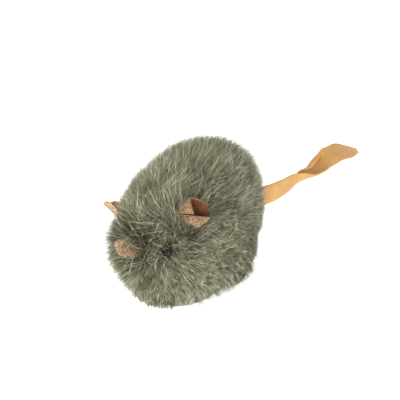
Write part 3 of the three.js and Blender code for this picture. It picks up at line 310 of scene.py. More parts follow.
def circuit_green(name):
    """Clear lacquer over green board with a grid of faint tracks."""
    made = Nodes(name, Coat_Weight=0.5, Coat_Roughness=0.15)
    tracks = made.add("ShaderNodeTexBrick")
    set_inputs(tracks, Scale=900, Mortar_Size=0.03, Mortar=(0.05, 0.3, 0.12, 1))
    set_inputs(tracks, Color1=(0.012, 0.15, 0.05, 1), Color2=(0.02, 0.2, 0.07, 1))
    made.link(made.place(), tracks.inputs["Vector"])
    made.colour(made.mix(made.noise(200), tracks.outputs["Color"], (0.015, 0.13, 0.05)))
    made.roughness(tracks.outputs["Fac"], 0.35, 0.5)
    return made.material


def suede(name, colour, dark, pale, nap=1.0, painted_fold_shade=None):
    """Napped split leather: dark flecks, pale patches and a soft sheen.

    With a painted fold shade, the leather darkens to a shade colour between two heights along a
    direction: painted shade toward the bottom of a fold.
    """
    made = Nodes(name, Sheen_Weight=0.2, Sheen_Roughness=0.5, Specular_IOR_Level=0.25)
    patches = made.noise(70, detail=3, roughness=0.55)
    speckle = made.noise(1350, detail=2, roughness=0.6)
    flecks = made.cells(1000)
    tone = made.ramp(patches, [(0.3, shade(colour, 0.88)), (0.5, colour), (0.72, pale)])
    spotted = made.mix(made.ramp(speckle, [(0.42, 0.9 * nap), (0.53, 0.0)]), tone, dark)
    flecked = made.mix(made.ramp(flecks, [(0.12, 0.6 * nap), (0.34, 0.0)]), spotted, dark)
    # Painted shade: darker below a height along a direction, as in the bottom of a fold
    if painted_fold_shade:
        way, low, high, shade_colour = painted_fold_shade
        flecked = made.mix(made.height_along(way, low, high), shade_colour, flecked)
    made.colour(flecked)
    made.roughness(speckle, 0.82, 0.98)
    made.bump(speckle, depth=0.12 * MM * nap, strength=0.7)
    return made.material


def knitted_backing(name, colour):
    made = Nodes(name)
    loops = made.add("ShaderNodeTexWave", wave_type="BANDS", bands_direction="DIAGONAL")
    set_inputs(loops, Scale=420, Distortion=3, Detail_Scale=2)
    made.link(made.place(), loops.inputs["Vector"])
    knit = loops.outputs["Fac"]
    patches = made.noise(150, detail=4, roughness=0.6)
    tone = made.ramp(knit, [(0.2, shade(colour, 0.6)), (0.8, shade(colour, 1.25))])
    made.colour(made.mix(made.range(patches, 0.0, 0.5), tone, shade(colour, 0.5)))
    made.roughness(knit, 0.85, 1.0)
    made.bump(knit, depth=0.25 * MM, strength=0.7)
    return made.material


def dull_bead(name):
    """Black with a faint haze and only a weak gloss."""
    made = Nodes(name, Specular_IOR_Level=0.22)
    haze = made.noise(500)
    made.colour(made.ramp(haze, [(0.3, (0.004, 0.004, 0.004)), (0.8, (0.012, 0.011, 0.01))]))
    made.roughness(haze, 0.10, 0.2)
    return made.material


def loose_fibre(name, colour):
    made = Nodes(name, Sheen_Weight=0.3)
    wisps = made.noise(420, detail=6, roughness=0.75, stretch=(1, 2.5, 1))
    made.colour(made.ramp(wisps, [(0.3, shade(colour, 0.7)), (0.7, colour)]))
    made.roughness(wisps, 0.85, 1.0)
    made.bump(wisps, depth=0.6 * MM, strength=0.8)
    return made.material


# Hair colours in linear light, from the brown grey of an underhair to the palest straw
HAIR_TINTS = [
    (0.00, (0.078, 0.058, 0.031)),
    (0.22, (0.158, 0.140, 0.076)),
    (0.45, (0.214, 0.208, 0.118)),
    (0.65, (0.255, 0.266, 0.160)),
    (0.85, (0.425, 0.435, 0.292)),
    (1.00, (0.760, 0.760, 0.590)),
]
# Painted shade in the depth of the pile: how dark a strand is from its root, 0, to its tip, 1
HAIR_PAINTED_SHADE = [(0.0, 0.08), (0.35, 0.16), (0.65, 0.50), (0.85, 0.88), (1.0, 1.0)]
HAIR_MAP = "OFBake"


def hair_material(name):
    """Colour by the strand's own tint across the map, darkened from tip to root up it as painted shade
    in the pile.
    """
    made = Nodes(name, Specular_IOR_Level=0.28)
    strand = made.add("ShaderNodeUVMap", uv_map=HAIR_MAP)
    parts = made.add("ShaderNodeSeparateXYZ")
    made.link(strand.outputs["UV"], parts.inputs["Vector"])
    tint = made.ramp(parts.outputs["X"], HAIR_TINTS)
    # Painted shade: each strand darkens toward its root
    depth = made.ramp(parts.outputs["Y"], HAIR_PAINTED_SHADE)
    made.colour(made.mix(1.0, tint, depth, "MULTIPLY"))
    made.roughness(parts.outputs["Y"], 0.75, 0.55)
    return made.material


# Painted shade: the ears' lining darkens to this colour toward the bottom of the fold, where the fold
# lies in its own shadow
LINING_MIDDLE = picture_up.dot(body_centre)
LINING_PAINTED_SHADE = (
    tuple(picture_up), LINING_MIDDLE + 3.8 * MM, LINING_MIDDLE + 6.2 * MM, (0.026, 0.004, 0.0006)
)

# Each kind of finish by slot, with what differs
SUEDES = {
    "suede": ((0.215, 0.136, 0.063), (0.070, 0.026, 0.014), (0.292, 0.217, 0.118)),
    "suede_nose": ((0.283, 0.175, 0.088), (0.10, 0.038, 0.022), (0.384, 0.28, 0.166)),
    # The far ear: the same suede painted paler, as painted light for the brighter light on that ear
    "suede_pale": ((0.45, 0.32, 0.19), (0.17, 0.065, 0.032), (0.58, 0.46, 0.32)),
    "suede_lining": (
        (0.080, 0.021, 0.003), (0.03, 0.006, 0.001), (0.13, 0.040, 0.006), 0.5, LINING_PAINTED_SHADE
    ),
    "tail_suede": ((0.55, 0.30, 0.095), (0.39, 0.19, 0.055), (0.62, 0.37, 0.13), 0.3),
}
PLASTICS = {
    "case_plastic": ((0.045, 0.047, 0.047),),
    "frame_plastic": ((0.70, 0.67, 0.58),),
    "gear_plastic": ((0.82, 0.80, 0.72), 0.38),
    "hub_plastic": ((0.09, 0.10, 0.105),),
    "chip": ((0.012, 0.012, 0.013), 0.4),
    "nylon": ((0.78, 0.76, 0.68), 0.42),
    "lead_red": ((0.42, 0.02, 0.015), 0.4),
    "lead_black": ((0.012, 0.012, 0.012), 0.4),
    "lead_yellow": ((0.62, 0.42, 0.03), 0.4),
}
METALS = {
    "steel": ((0.52, 0.53, 0.54),),
    "brass": ((0.62, 0.42, 0.12), 0.33),
    "cell_steel": ((0.62, 0.63, 0.64), 0.22, (20, 1, 20)),
}
OTHERS = [
    (hair_material, {"fur_hair": ()}),
    (knitted_backing, {"fur_backing": ((0.09, 0.085, 0.055),)}),
    (dull_bead, {"bead": ()}),
    (rubber, {"tyre_rubber": ((0.012, 0.012, 0.013),)}),
    (circuit_green, {"board": ()}),
    (loose_fibre, {"wadding": ((0.82, 0.80, 0.75),)}),
]
finishes = {
    name: make(name, *values)
    for make, rows in [*OTHERS, (suede, SUEDES), (moulded_plastic, PLASTICS), (brushed_metal, METALS)]
    for name, values in rows.items()
}
finishes["fur"] = finishes["fur_hair"]


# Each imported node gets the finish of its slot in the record
for part in frame["record"]["subparts"]:
    slots = nodes[part["node"]].data.materials
    slots.clear()
    slots.append(finishes[part["material_slot"]])


# Places and forms on the coat, as arrays of points
centre = np.array(body_centre)
WAVES_ADDED = 10
# How much a form widens toward its rear
TAPER_SHARE = 0.02
# A form's reach from the body's middle, how square it is, and how far it leans to its left
Form = namedtuple("Form", "wide front rear up down power_above power_below lean")


def waves(points, size, seed):
    """Smooth noise of about -1 to 1 at each point, with bumps about this size."""
    rng = np.random.default_rng(seed)
    ways = rng.normal(size=(WAVES_ADDED, 3))
    ways /= norm(ways, axis=1)[:, None]
    pace = 2 * pi / size * rng.uniform(0.6, 1.4, WAVES_ADDED)
    phase = rng.uniform(0, 2 * pi, WAVES_ADDED)
    return np.sin(points @ (ways * pace[:, None]).T + phase).sum(-1) / sqrt(WAVES_ADDED)


def layered(points, layers, base=0.0):
    """Waves over a base, one for each height, size and seed."""
    return sum((height * waves(points, size, seed) for height, size, seed in layers), base)


def drift(points, size, seed):
    """Smooth noise as a vector at each point, from three seeds in a row."""
    return np.stack([waves(points, size, seed + i) for i in range(3)], axis=-1)


def unit(vectors):
    return vectors / np.maximum(norm(vectors, axis=-1, keepdims=True), 1e-12)


def nearness(away, spread):
    """1 at a place, fading to 0 over about this distance."""
    return np.exp(-((away**2).sum(axis=-1) / spread**2))


def fullness(points, form):
    """How far out each point lies: 0 at the body's middle and 1 on a form."""
    x, y, z = np.moveaxis(points - centre, -1, 0)
    long = np.where(y < 0, form.front, form.rear)
    power = np.where(z > 0, form.power_above, form.power_below)
    level = np.hypot((x - form.lean * z) / form.wide / (1 + TAPER_SHARE * y / long), y / long)
    rise = np.abs(z) / np.where(z > 0, form.up, form.down)
    return (level**power + rise**power) ** (1 / power)


def outward(points, form):
    """The direction in which fullness grows fastest."""
    step = 0.01 * MM
    sides = [
        fullness(points + step * axis, form) - fullness(points - step * axis, form)
        for axis in np.eye(3)
    ]
    return unit(np.stack(sides, axis=-1))


def on_form(directions, form):
    """The points where rays from the middle meet a form."""
    reach = np.full(directions.shape[:-1] + (1,), form.wide)
    for _ in range(10):
        reach = reach / fullness(centre + directions * reach, form)[..., None]
    return centre + directions * reach


# The backing that the hair grows from, over the wadding, and the form of the hair's tips
BACKING_STAND_OFF = 1.3 * MM
BACKING_ROWS, BACKING_COLUMNS = 30, 80
BACKING_TILTS = (-50, 89)
HEM_HEIGHT = 12.6 * MM
HEM_TURN = 0.97
half_skin = (padding_high.y - padding_low.y) / 2 + BACKING_STAND_OFF
skin_form = Form(
    padding_high.x + BACKING_STAND_OFF, half_skin, half_skin,
    padding_high.z - body_centre.z + BACKING_STAND_OFF, 70 * MM, 2.1, 2.6, 0,
)
fur_form = Form(29.3 * MM, 53.6 * MM, 51.6 * MM, 42.6 * MM, 34 * MM, 2.03, 2.12, 0.055)


def in_body(point):
    """A place given in millimetres from the body's middle."""
    return body_centre + Vector(point) * MM


def skin_below(place):
    """The point of the backing under a place in the coat."""
    way = unit(np.array([place]) - centre)
    return Vector(on_form(way, skin_form)[0])


def backing_points():
    """Rows of points up the backing, with the lowest drawn in at its hem."""
    lowest, highest = BACKING_TILTS
    turn = np.linspace(0, 2 * pi, BACKING_COLUMNS, endpoint=False)
    flat = np.stack((np.cos(turn) * skin_form.wide, np.sin(turn) * half_skin, 0 * turn), axis=1)
    cloud = []
    for row in range(BACKING_ROWS):
        tilt = radians(lowest + (highest - lowest) * row / (BACKING_ROWS - 1))
        ways = cos(tilt) * flat + np.array((0, 0, sin(tilt) * half_skin))
        cloud.append(on_form(unit(ways), skin_form))
    cloud = np.array(cloud)
    low = cloud[..., 2] < HEM_HEIGHT
    cloud[low, 2] = HEM_HEIGHT
    cloud[low, :2] = centre[:2] + (cloud[low, :2] - centre[:2]) * HEM_TURN
    return cloud


def add_backing():
    """The coat's knitted backing, whose area is summed from its own quads."""
    cloud = backing_points()
    faces = grid_faces(BACKING_ROWS, BACKING_COLUMNS, True)
    faces.append(last_row(BACKING_ROWS, BACKING_COLUMNS))
    made = mesh_object("fur_backing", cloud.reshape(-1, 3), faces, finishes["fur_backing"])
    across, along = np.diff(cloud, axis=0)[:, :-1], np.diff(cloud, axis=1)[:-1]
    area = norm(np.cross(across, along), axis=-1).sum()
    add_modifier(made, "cloth", "SOLIDIFY", thickness=0.7 * MM, offset=-1.0)
    joined_to(made, "fur", "fur_coat")


# Suede pieces, whose creases are given as depth, size and noise seed
LEAF_CREASES = (0.12 * MM, 5 * MM, 20)


def smooth_run(points, count):
    """Points along a smooth line through these."""
    p = np.array([points[0], *points, points[-1]], float)
    spans = len(points) - 1
    out = []
    for share in np.linspace(0, spans - 1e-9, count):
        i, t = int(share), share - int(share)
        a, b, c, d = p[i : i + 4]
        slope = c - a
        square = 2 * a - 5 * b + 4 * c - d
        cubic = 3 * b - a - 3 * c + d
        out.append(0.5 * (2 * b + slope * t + square * t**2 + cubic * t**3))
    return out


def rim_line(runs):
    """One line through runs of points, with a corner where two runs meet."""
    line = []
    for run in runs:
        line += smooth_run(run, count=14)[1 if line else 0 :]
    return np.array(line)


def creased(cloud, creases):
    """Points moved by smooth noise, as soft leather is never even."""
    depth, size, seed = creases
    return cloud + depth * drift(cloud, size, seed)


def leaf(name, apex, axes, runs, material, thickness, inset=0.0):
    """A folded suede leaf: straight lines from its apex to a rim in millimetres along its axes."""
    rows, first, swell = 14, 0.05, 0.10
    rim = rim_line(runs) * MM
    rim[:, :2] *= 1 - inset
    cloud = []
    for row in range(rows):
        share = first + (1 - first) * row / (rows - 1)
        bulge = 1 + swell * sin(pi * share)
        local = rim * np.array((bulge, bulge, 1)) * share
        cloud.append(np.array(apex) + local @ np.array([tuple(axis) for axis in axes]))
    cloud = creased(np.array(cloud), LEAF_CREASES).reshape(-1, 3)
    made = mesh_object(name, cloud, grid_faces(rows, len(rim)), material)
    make_hide(made, thickness, rounding=0.12 * MM)
    return made


def stem(name, start, end, radius, material):
    """A root from a suede piece down to the backing, flattened and wider at its foot."""
    rows, columns, spread, flatness = 8, 14, 0.35, 0.5
    along = (end - start).normalized()
    side = along.cross(picture_back).normalized()
    across = along.cross(side)
    cloud = []
    for row in range(rows):
        share = row / (rows - 1)
        width = radius * (1 + spread * share)
        for column in range(columns):
            turn = 2 * pi * column / columns
            offset = side * cos(turn) * width + across * sin(turn) * width * flatness
            cloud.append(start.lerp(end, share) + offset)
    return mesh_object(name, cloud, tube_faces(rows, columns), material)


def polar(points):
    """Rim points given as angle, radius and height."""
    turns = [(radians(angle), r, height) for angle, r, height in points]
    return [(r * cos(turn), r * sin(turn), height) for turn, r, height in turns]


# Ears: where each starts and points, and its rim in millimetres
LEFT_EAR_APEX = in_body((16.2, -27.0, 21.9))
LEFT_EAR_AIM = (0.971, 0.225, 0.081)
LEFT_EAR_RIM = [
    polar([(-3, 4.5, 13.3), (50, 7.0, 11.6), (90, 7.9, 9.1)]),
    polar([(90, 7.9, 9.1), (130, 8.2, 12.5), (164, 8.2, 15), (200, 7.5, 15.5), (262, 6.7, 13.3)]),
    polar([(262, 6.7, 13.3), (300, 6.2, 16.8), (325, 3.2, 21.5)]),
]
RIGHT_EAR_APEX = in_body((-14.8, -28.8, 10.3))
RIGHT_EAR_AIM = (-0.66, -0.06, 0.75)
RIGHT_EAR_RIM = [
    [(-1.7, 4.8, 9.3), (-1.9, 4.5, 10.8), (-2.0, 3.9, 12.0)],
    [(-2.0, 3.9, 12.0), (-1.6, 1.8, 12.8), (-0.6, -0.6, 13.9), (0.5, -1.4, 14.0), (0.9, -0.5, 15.1)],
    [(0.9, -0.5, 15.1), (1.6, 1.5, 13.6), (1.9, 2.3, 10.7)],
]
# How far the near ear is pressed toward the coat, as a share of its depth in the picture
LEFT_EAR_PRESS = 0.45
# Where along an ear its lining and root start, in millimetres
LINING_START, EAR_ROOT_START = 0.3, 1.6


def ear_axes(aim):
    """Axes for an ear's rim: toward the camera, upward in the picture, and along its aim."""
    along = Vector(aim).normalized()
    near = (picture_back - along * along.dot(picture_back)).normalized()
    across = near.cross(along)
    if across.dot(picture_up) < 0:
        across = -across
    return near, across, along


def press_back(made, apex, share):
    """Moves a leaf's points straight back in the picture, so that it lies closer to the coat."""
    for vertex in made.data.vertices:
        vertex.co -= picture_back * ((vertex.co - apex).dot(picture_back) * share)


def add_ear(side, apex, axes, rim, hide, lining, press=0.0):
    """An ear's leaf with its lining and the root that holds it."""
    along = axes[2]
    outer = leaf(f"ear_{side}_leaf", apex, axes, rim, hide, thickness=0.5 * MM)
    inner = leaf(
        f"ear_{side}_lining", apex + along * LINING_START * MM, axes, rim, lining,
        thickness=0.3 * MM, inset=0.09,
    )
    root_start = apex + along * EAR_ROOT_START * MM
    root = stem(f"ear_{side}_root", root_start, skin_below(apex), 1.3 * MM, hide)
    for made in (outer, inner):
        press_back(made, apex, press)
    for made in (outer, inner, root):
        joined_to(made, "suede", f"ear_{side}")


add_backing()
left_axes = ear_axes(LEFT_EAR_AIM)
right_axes = ear_axes(RIGHT_EAR_AIM)
add_ear(
    "left", LEFT_EAR_APEX, left_axes, LEFT_EAR_RIM,
    finishes["suede"], finishes["suede_lining"], press=LEFT_EAR_PRESS,
)
# The far ear's suede is painted paler, as painted light
add_ear(
    "right", RIGHT_EAR_APEX, right_axes, RIGHT_EAR_RIM,
    finishes["suede_pale"], finishes["suede_pale"],
)


# Nose: a suede cone pressed to a flat fold towards its tip, seamed below
NOSE_ROOT = in_body((-0.9, -41.6, 5.3))
NOSE_TIP = in_body((-4.4, -50.2, 13.9))
# How far along it each ring is, and its half width and half depth in millimetres
NOSE_RINGS = [
    (-1.0, 3.0, 3.0), (0.0, 4.8, 3.8), (0.3, 5.0, 3.4), (0.5, 4.7, 2.7), (0.68, 3.8, 1.9),
    (0.86, 2.1, 1.0), (0.97, 0.8, 0.5), (1.0, 0.25, 0.2),
]
NOSE_CREASES = (0.18 * MM, 4 * MM, 40)
# The seam's depth, its place round the cone and its width
NOSE_SEAM = (0.18, 1.6 * pi, 0.22)
nose_length = (NOSE_TIP - NOSE_ROOT).length
nose_way = (NOSE_TIP - NOSE_ROOT).normalized()


def bump(place, height, middle, spread):
    """A smooth rise of this height around its middle."""
    return height * exp(-(((place - middle) / spread) ** 2))


def add_nose():
    rows, columns = 24, 32
    out = (picture_back - nose_way * nose_way.dot(picture_back)).normalized()
    side = out.cross(nose_way)
    back = skin_below(NOSE_ROOT)
    cloud = []
    for place, wide, deep in smooth_run(NOSE_RINGS, rows):
        middle = NOSE_ROOT + nose_way * nose_length * place
        if place < 0:
            middle = NOSE_ROOT.lerp(back, -place)
        for column in range(columns):
            turn = 2 * pi * column / columns
            reach = (1 - bump(turn, *NOSE_SEAM)) * MM
            sideways = side * cos(turn) * wide * reach
            cloud.append(middle + sideways + out * sin(turn) * deep * reach)
    cloud = creased(np.array([tuple(point) for point in cloud]), NOSE_CREASES)
    made = mesh_object("nose_cone", cloud, tube_faces(rows, columns), finishes["suede_nose"])
    joined_to(made, "suede", "nose")


add_nose()


# Tail: a flat suede strip with half a twist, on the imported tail's route in millimetres
TAIL_ROOT_Y, TAIL_ROOT_Z = 37.125, 28
TAIL_REACH, TAIL_DROOP = 98, 20.5
TAIL_SHARES = [(0, 0), (0.2, 0.28), (0.53, 0.58), (0.81, 0.72), (1, 1)]
TAIL_WIDTH = 10.5 * MM
TAIL_CREASES = (0.10 * MM, 9 * MM, 50)
TAIL_ROWS, TAIL_COLUMNS = 160, 30
# The strip's turn in degrees and its lift in millimetres, at shares of its length
TAIL_TWIST = [
    (0, 106.6), (0.15, 94.0), (0.28, 80.2), (0.38, 74.3), (0.46, 69.8),
    (0.54, 25.1), (0.60, -15.9), (0.68, -25.8), (0.78, -34.2), (1, -43.7),
]
TAIL_LIFT = [
    (0, -0.2), (0.15, -0.2), (0.3, -1.1), (0.45, -0.7), (0.6, -1.3), (0.7, 0.6), (0.85, 2.0), (1, -0.7)
]
# Each is smoothed to both sides over the length divided by this
TWIST_SMOOTHING, LIFT_SMOOTHING = 28, 14
# Where the strip starts to narrow, over what share of it, and how narrow its end is
END_FROM, END_SPAN, END_WIDTH = 0.84, 0.16, 0.25
# How much the strip curls across, and how much more it does, where and how widely
TAIL_CURL, TAIL_CURL_MORE = 0.16, (2.0, 0.574, 0.115)
# How far its first edge rolls over, where and how widely, and the strip that the roll takes up
TAIL_ROLL = (3.3, 0.655, 0.09)
ROLL_LENGTH, ROLL_SPARE, ROLL_POWER = 5.6 * MM, 3.0 * MM, 1.3


def centripetal(points, samples):
    """A centripetal curve through the points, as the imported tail's."""
    p = [2 * points[0] - points[1], *points, 2 * points[-1] - points[-2]]
    out = []
    for i in range(1, len(p) - 2):
        a, b, c, d = p[i - 1 : i + 3]
        k1, k2, k3 = (sqrt((q - r).length) for q, r in ((b, a), (c, b), (d, c)))
        start = ((b - a) / k1 - (c - a) / (k1 + k2) + (c - b) / k2) * k2
        stop = ((c - b) / k2 - (d - b) / (k2 + k3) + (d - c) / k3) * k2
        cubic = 2 * b - 2 * c + start + stop
        square = -3 * b + 3 * c - 2 * start - stop
        for step in range(samples):
            t = step / samples
            out.append(cubic * t**3 + square * t**2 + start * t + b)
    out.append(points[-1])
    return out


def evenly(points, count):
    """The line resampled at even steps, with its directions and its length."""
    p = np.array([tuple(q) for q in points])
    steps = np.concatenate(([0], np.cumsum(norm(np.diff(p, axis=0), axis=1))))
    at = np.linspace(0, steps[-1], count)
    line = np.stack([np.interp(at, steps, p[:, i]) for i in range(3)], axis=1)
    return line, unit(np.gradient(line, axis=0)), steps[-1]


def smooth_keys(keys, count, reach):
    """Values at even steps through (share, value) keys, smoothed over some steps each way."""
    values = np.interp(np.linspace(0, 1, count), *np.array(keys).T)
    weights = np.exp(-np.linspace(-2, 2, 2 * reach + 1) ** 2)
    return np.convolve(np.pad(values, reach, mode="edge"), weights / weights.sum(), "valid")


def tail_frames(count):
    """Points, sideways and facing directions and half widths along the tail; its length."""
    route = [
        Vector((body_centre.x, body_centre.y, 0))
        + Vector((0, TAIL_ROOT_Y + TAIL_REACH * along, TAIL_ROOT_Z - TAIL_DROOP * down)) * MM
        for along, down in TAIL_SHARES
    ]
    line, ways, length = evenly(centripetal(route, samples=60), count)
    line[:, 2] += smooth_keys(TAIL_LIFT, count, count // LIFT_SMOOTHING) * MM
    twist = np.radians(smooth_keys(TAIL_TWIST, count, count // TWIST_SMOOTHING))
    left = Vector((1, 0, 0))
    frames = []
    for step, (point, way, angle) in enumerate(zip(line, ways, twist)):
        forward = Vector(way)
        up = left.cross(forward)
        sideways = left * cos(angle) + up * sin(angle)
        end = max(0.0, (step / (count - 1) - END_FROM) / END_SPAN)
        narrow = END_WIDTH + (1 - END_WIDTH) * cos(end * pi / 2)
        frames.append((Vector(point), sideways, forward.cross(sideways), TAIL_WIDTH / 2 * narrow))
    return frames, length


def tail_section(share, half):
    """The strip's cross-section as (across, out) points: an arc whose first edge rolls over."""
    rolled = bump(share, *TAIL_ROLL)
    spare = ROLL_SPARE * rolled / TAIL_ROLL[0]
    places = np.linspace(-half - spare, half, TAIL_COLUMNS)
    bend = (TAIL_CURL + bump(share, *TAIL_CURL_MORE)) / (2 * half)
    into = np.clip((places[0] + ROLL_LENGTH - places) / ROLL_LENGTH, 0, 1)
    turn = bend * places - rolled * into**ROLL_POWER
    step = np.diff(places)
    middle = (turn[1:] + turn[:-1]) / 2
    across = np.concatenate(([0], np.cumsum(np.cos(middle) * step)))
    out = np.concatenate(([0], np.cumsum(np.sin(middle) * step)))
    across += (np.sin(bend * half) / bend) - across[-1]
    return across, out - out[places >= 0].mean()


def add_tail():
    frames, length = tail_frames(TAIL_ROWS)
    cloud = []
    for step, (point, sideways, facing, half) in enumerate(frames):
        for across, out in zip(*tail_section(step / (TAIL_ROWS - 1), half)):
            cloud.append(tuple(point + sideways * across - facing * out))
    cloud = creased(np.array(cloud), TAIL_CREASES)
    faces = grid_faces(TAIL_ROWS, TAIL_COLUMNS)
    made = mesh_object("tail_strip", cloud, faces, finishes["tail_suede"])
    make_hide(made, thickness=0.9 * MM, rounding=0.15 * MM)
    joined_to(made, "tail_suede", "tail")


add_tail()


# Wadding: layers of lumps as height in millimetres, size and noise seed, how far they lie
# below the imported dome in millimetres, and the fullness from which it is lumpy
WADDING_LUMPS = [(0.30, 9 * MM, 60), (0.15, 3.5 * MM, 61)]
WADDING_SINK, WADDING_OUTSIDE = 0.35, 0.90


def add_wadding():
    """Wadding over the upper shell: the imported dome, evenly remeshed and made lumpy."""
    mesh = nodes["back_padding"].data.copy()
    mesh.materials.clear()
    mesh.materials.append(finishes["wadding"])
    made = add_object("wadding_dome", mesh)
    add_modifier(made, "evened", "REMESH", mode="VOXEL", voxel_size=0.9 * MM)
    graph = bpy.context.evaluated_depsgraph_get()
    mesh = bpy.data.meshes.new_from_object(made.evaluated_get(graph))
    mesh.name = "wadding_dome"
    made.modifiers.clear()
    made.data = mesh
    places = np.empty(len(mesh.vertices) * 3)
    mesh.vertices.foreach_get("co", places)
    places = places.reshape(-1, 3)
    outside = fullness(places, skin_form) > WADDING_OUTSIDE
    moved = np.where(outside, layered(places, WADDING_LUMPS) - WADDING_SINK, 0.0)
    places = places + outward(places, skin_form) * (moved * MM)[:, None]
    mesh.vertices.foreach_set("co", places.ravel())
    mesh.polygons.foreach_set("use_smooth", np.ones(len(mesh.polygons), bool))
    mesh.update()
    joined_to(made, "wadding", "back_padding")


add_wadding()


# Hair
HAIR_SAMPLES = 400_000
STRANDS_IN_PIECE = 21_500
HAIR_SEGMENTS = 5
HAIR_WIDTH = 0.26 * MM
HAIR_LENGTH = 15 * MM
HAIR_LENGTHS = (4 * MM, 24 * MM)
hair_steps = np.linspace(0, 1, HAIR_SEGMENTS + 1)
# Combing away from the nose's pole and the eyes, along the nose and up below the near ear
NOSE_POLE = np.array(in_body((0, -49, 9)))
FLOW_ROOM = 45 * MM
EYE_WHORL, EYE_PARTINGS = 5.5 * MM, (0.8, 0.25)
NOSE_WHORL, NOSE_LAY = 9 * MM, 0.6
EAR_LAY, EAR_LAY_SPREAD = 0.95, 7 * MM
# Shares of the pile's height at which it is combed there, and where veils are judged
LAY_HEIGHT, VEIL_HEIGHT = 0.6, 0.7
# How much combing, and then gusts, wisps, tufts and each strand itself, count at root and bend
START_FLOW, START_SWAY = 0.26, (0.10, 0.14, 0.14, 0.16)
BEND_FLOW, BEND_SWAY = 0.30, (0.12, 0.16, 0.18, 0.22)
GUST_SIZE, WISP_SIZE = 16 * MM, 5 * MM
# Where the tips end as a share of the fur's form
REACH, REACH_SPREAD = 0.975, 0.035
REACH_LUMPS = [(0.025, 9 * MM, 7)]
# Strands that end short or long: their share, the sign, and the least and most
SHORT_STRANDS = (0.28, -1, 0.05, 0.25)
LONG_STRANDS = (0.05, 1, 0.02, 0.08)
# Hair sags below LOW_ROOM over the hem, and along it hangs as a skirt
LOW_ROOM = 22 * MM
SKIRT_ROOM = 6 * MM
SKIRT_LENGTH = 7.4 * MM
SKIRT_FRONT, SKIRT_FRONT_LESS = 15 * MM, 0.3
WHEEL_COVER, WHEEL_COVER_LENGTH = 1.6 * MM, 11 * MM
DOWN = np.array((0, 0, -1.0))
# The lowest that hair hangs over the floor, in millimetres
LOWEST_HAIR = (3.5, 7.0)
FRONT_HIGHER, WHEEL_LOWER = 2.5, 1.6
# The share of strands that lead a tuft, and how the others are pulled to them
CLUMP_SHARE, CLUMP_PULL, CLUMP_POWER = 0.065, 0.75, 1.4
TINT_MIDDLE = 0.47
TINT_PATCHES = [(0.09, 30 * MM, 8), (0.06, 8 * MM, 9)]
TUFT_TINT, STRAND_TINT = 0.17, 0.33
PALE_SHARE, PALE_TINT = 0.10, 0.38
below_ear = LEFT_EAR_APEX + picture_right * 5 * MM - picture_up * 9.5 * MM
rng = np.random.default_rng(seed=11)


def box_middle(node):
    low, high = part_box(node)
    return np.array((low + high) / 2)


eye_middles = [box_middle("eye_left"), box_middle("eye_right")]
# Where hair veils a place: how far ahead of it in the picture, how widely, and the gain in reach
VEILS = [
    (eye_middles[1], 5 * MM, 6 * MM, 0.14),
    (below_ear, 0, 7.5 * MM, 0.18),
    (NOSE_ROOT.lerp(NOSE_TIP, 0.45), 1 * MM, 6 * MM, 0.18),
]


def hair_roots():
    """Evenly spread points on the backing above its hem, with their outward directions."""
    index = np.arange(HAIR_SAMPLES)
    height = 1 - 2 * (index + 0.5) / HAIR_SAMPLES
    turn = index * pi * (3 - sqrt(5))
    level = np.sqrt(1 - height * height)
    ways = np.stack((level * np.cos(turn), level * np.sin(turn), height), axis=1)
    ways = unit(ways + rng.normal(scale=0.005, size=ways.shape))
    points = on_form(ways, skin_form)
    facing = outward(points, skin_form)
    spread = ((points - centre) ** 2).sum(1) / (ways * facing).sum(1)
    spread[points[:, 2] < HEM_HEIGHT] = 0
    kept = rng.random(HAIR_SAMPLES) < spread / spread.max()
    return points[kept], facing[kept]


def combed(points, facing):
    """The way the hair lies along the coat: back from the nose and away from each eye."""
    from_nose = points - NOSE_POLE
    distance = norm(from_nose, axis=1)[:, None]
    flow = unit(from_nose) * np.clip(distance / FLOW_ROOM, 0, 1)
    for eye, parting in zip(eye_middles, EYE_PARTINGS):
        away = points - eye
        flow = flow + parting * nearness(away, EYE_WHORL)[:, None] * unit(away)
    near = nearness(points - np.array(NOSE_ROOT), NOSE_WHORL)[:, None]
    flow = flow * (1 - near) + near * NOSE_LAY * unit(np.array(NOSE_TIP - NOSE_ROOT))
    to_ear = points + facing * HAIR_LENGTH * LAY_HEIGHT - np.array(below_ear)
    to_ear = np.stack((to_ear @ np.array(picture_right), to_ear @ np.array(picture_up)), axis=1)
    seen = facing @ np.array(picture_back) > 0
    near = (seen * nearness(to_ear, EAR_LAY_SPREAD))[:, None]
    flow = flow * (1 - near) + near * EAR_LAY * np.array(picture_up)
    return flow - (flow * facing).sum(1)[:, None] * facing


def above_hem(roots, room):
    """1 at the hem, falling to 0 this far above it."""
    return np.clip(1 - (roots[:, 2] - HEM_HEIGHT) / room, 0, 1)


def strands(roots, start, bend, length, steps):
    """Points at these shares of each strand's length, on a curve from its start direction."""
    steps = steps[None, :, None]
    return roots[:, None] + length[:, None, None] * (
        start[:, None] * steps + bend[:, None] * steps**2
    )


def nearest_guides(roots, guides):
    tree = KDTree(len(guides))
    for place, guide in enumerate(guides):
        tree.insert(roots[guide], place)
    tree.balance()
    return np.array([tree.find(root)[1] for root in roots])


def hair_ways(roots, facing, guides, clump):
    """The direction in which each strand starts, and how it bends toward its tip."""
    flow = combed(roots, facing)
    tuft = rng.normal(size=(len(guides), 3))[clump]
    shared = (drift(roots, GUST_SIZE, 1), drift(roots, WISP_SIZE, 4), tuft)
    low = above_hem(roots, LOW_ROOM)[:, None]
    skirt = above_hem(roots, SKIRT_ROOM)[:, None]
    start = facing * (1 - 0.8 * skirt) + START_FLOW * flow * (1 - 0.6 * skirt)
    for amount, sway in zip(START_SWAY, (*shared, rng.normal(size=roots.shape))):
        start = start + amount * sway
    start = unit(start + (0.25 * low + 1.1 * skirt) * DOWN)
    bend = BEND_FLOW * flow
    for amount, sway in zip(BEND_SWAY, (*shared, rng.normal(size=roots.shape))):
        bend = bend + amount * sway
    return start, bend * (1 - 0.5 * skirt) + (0.04 + 0.22 * low) * DOWN


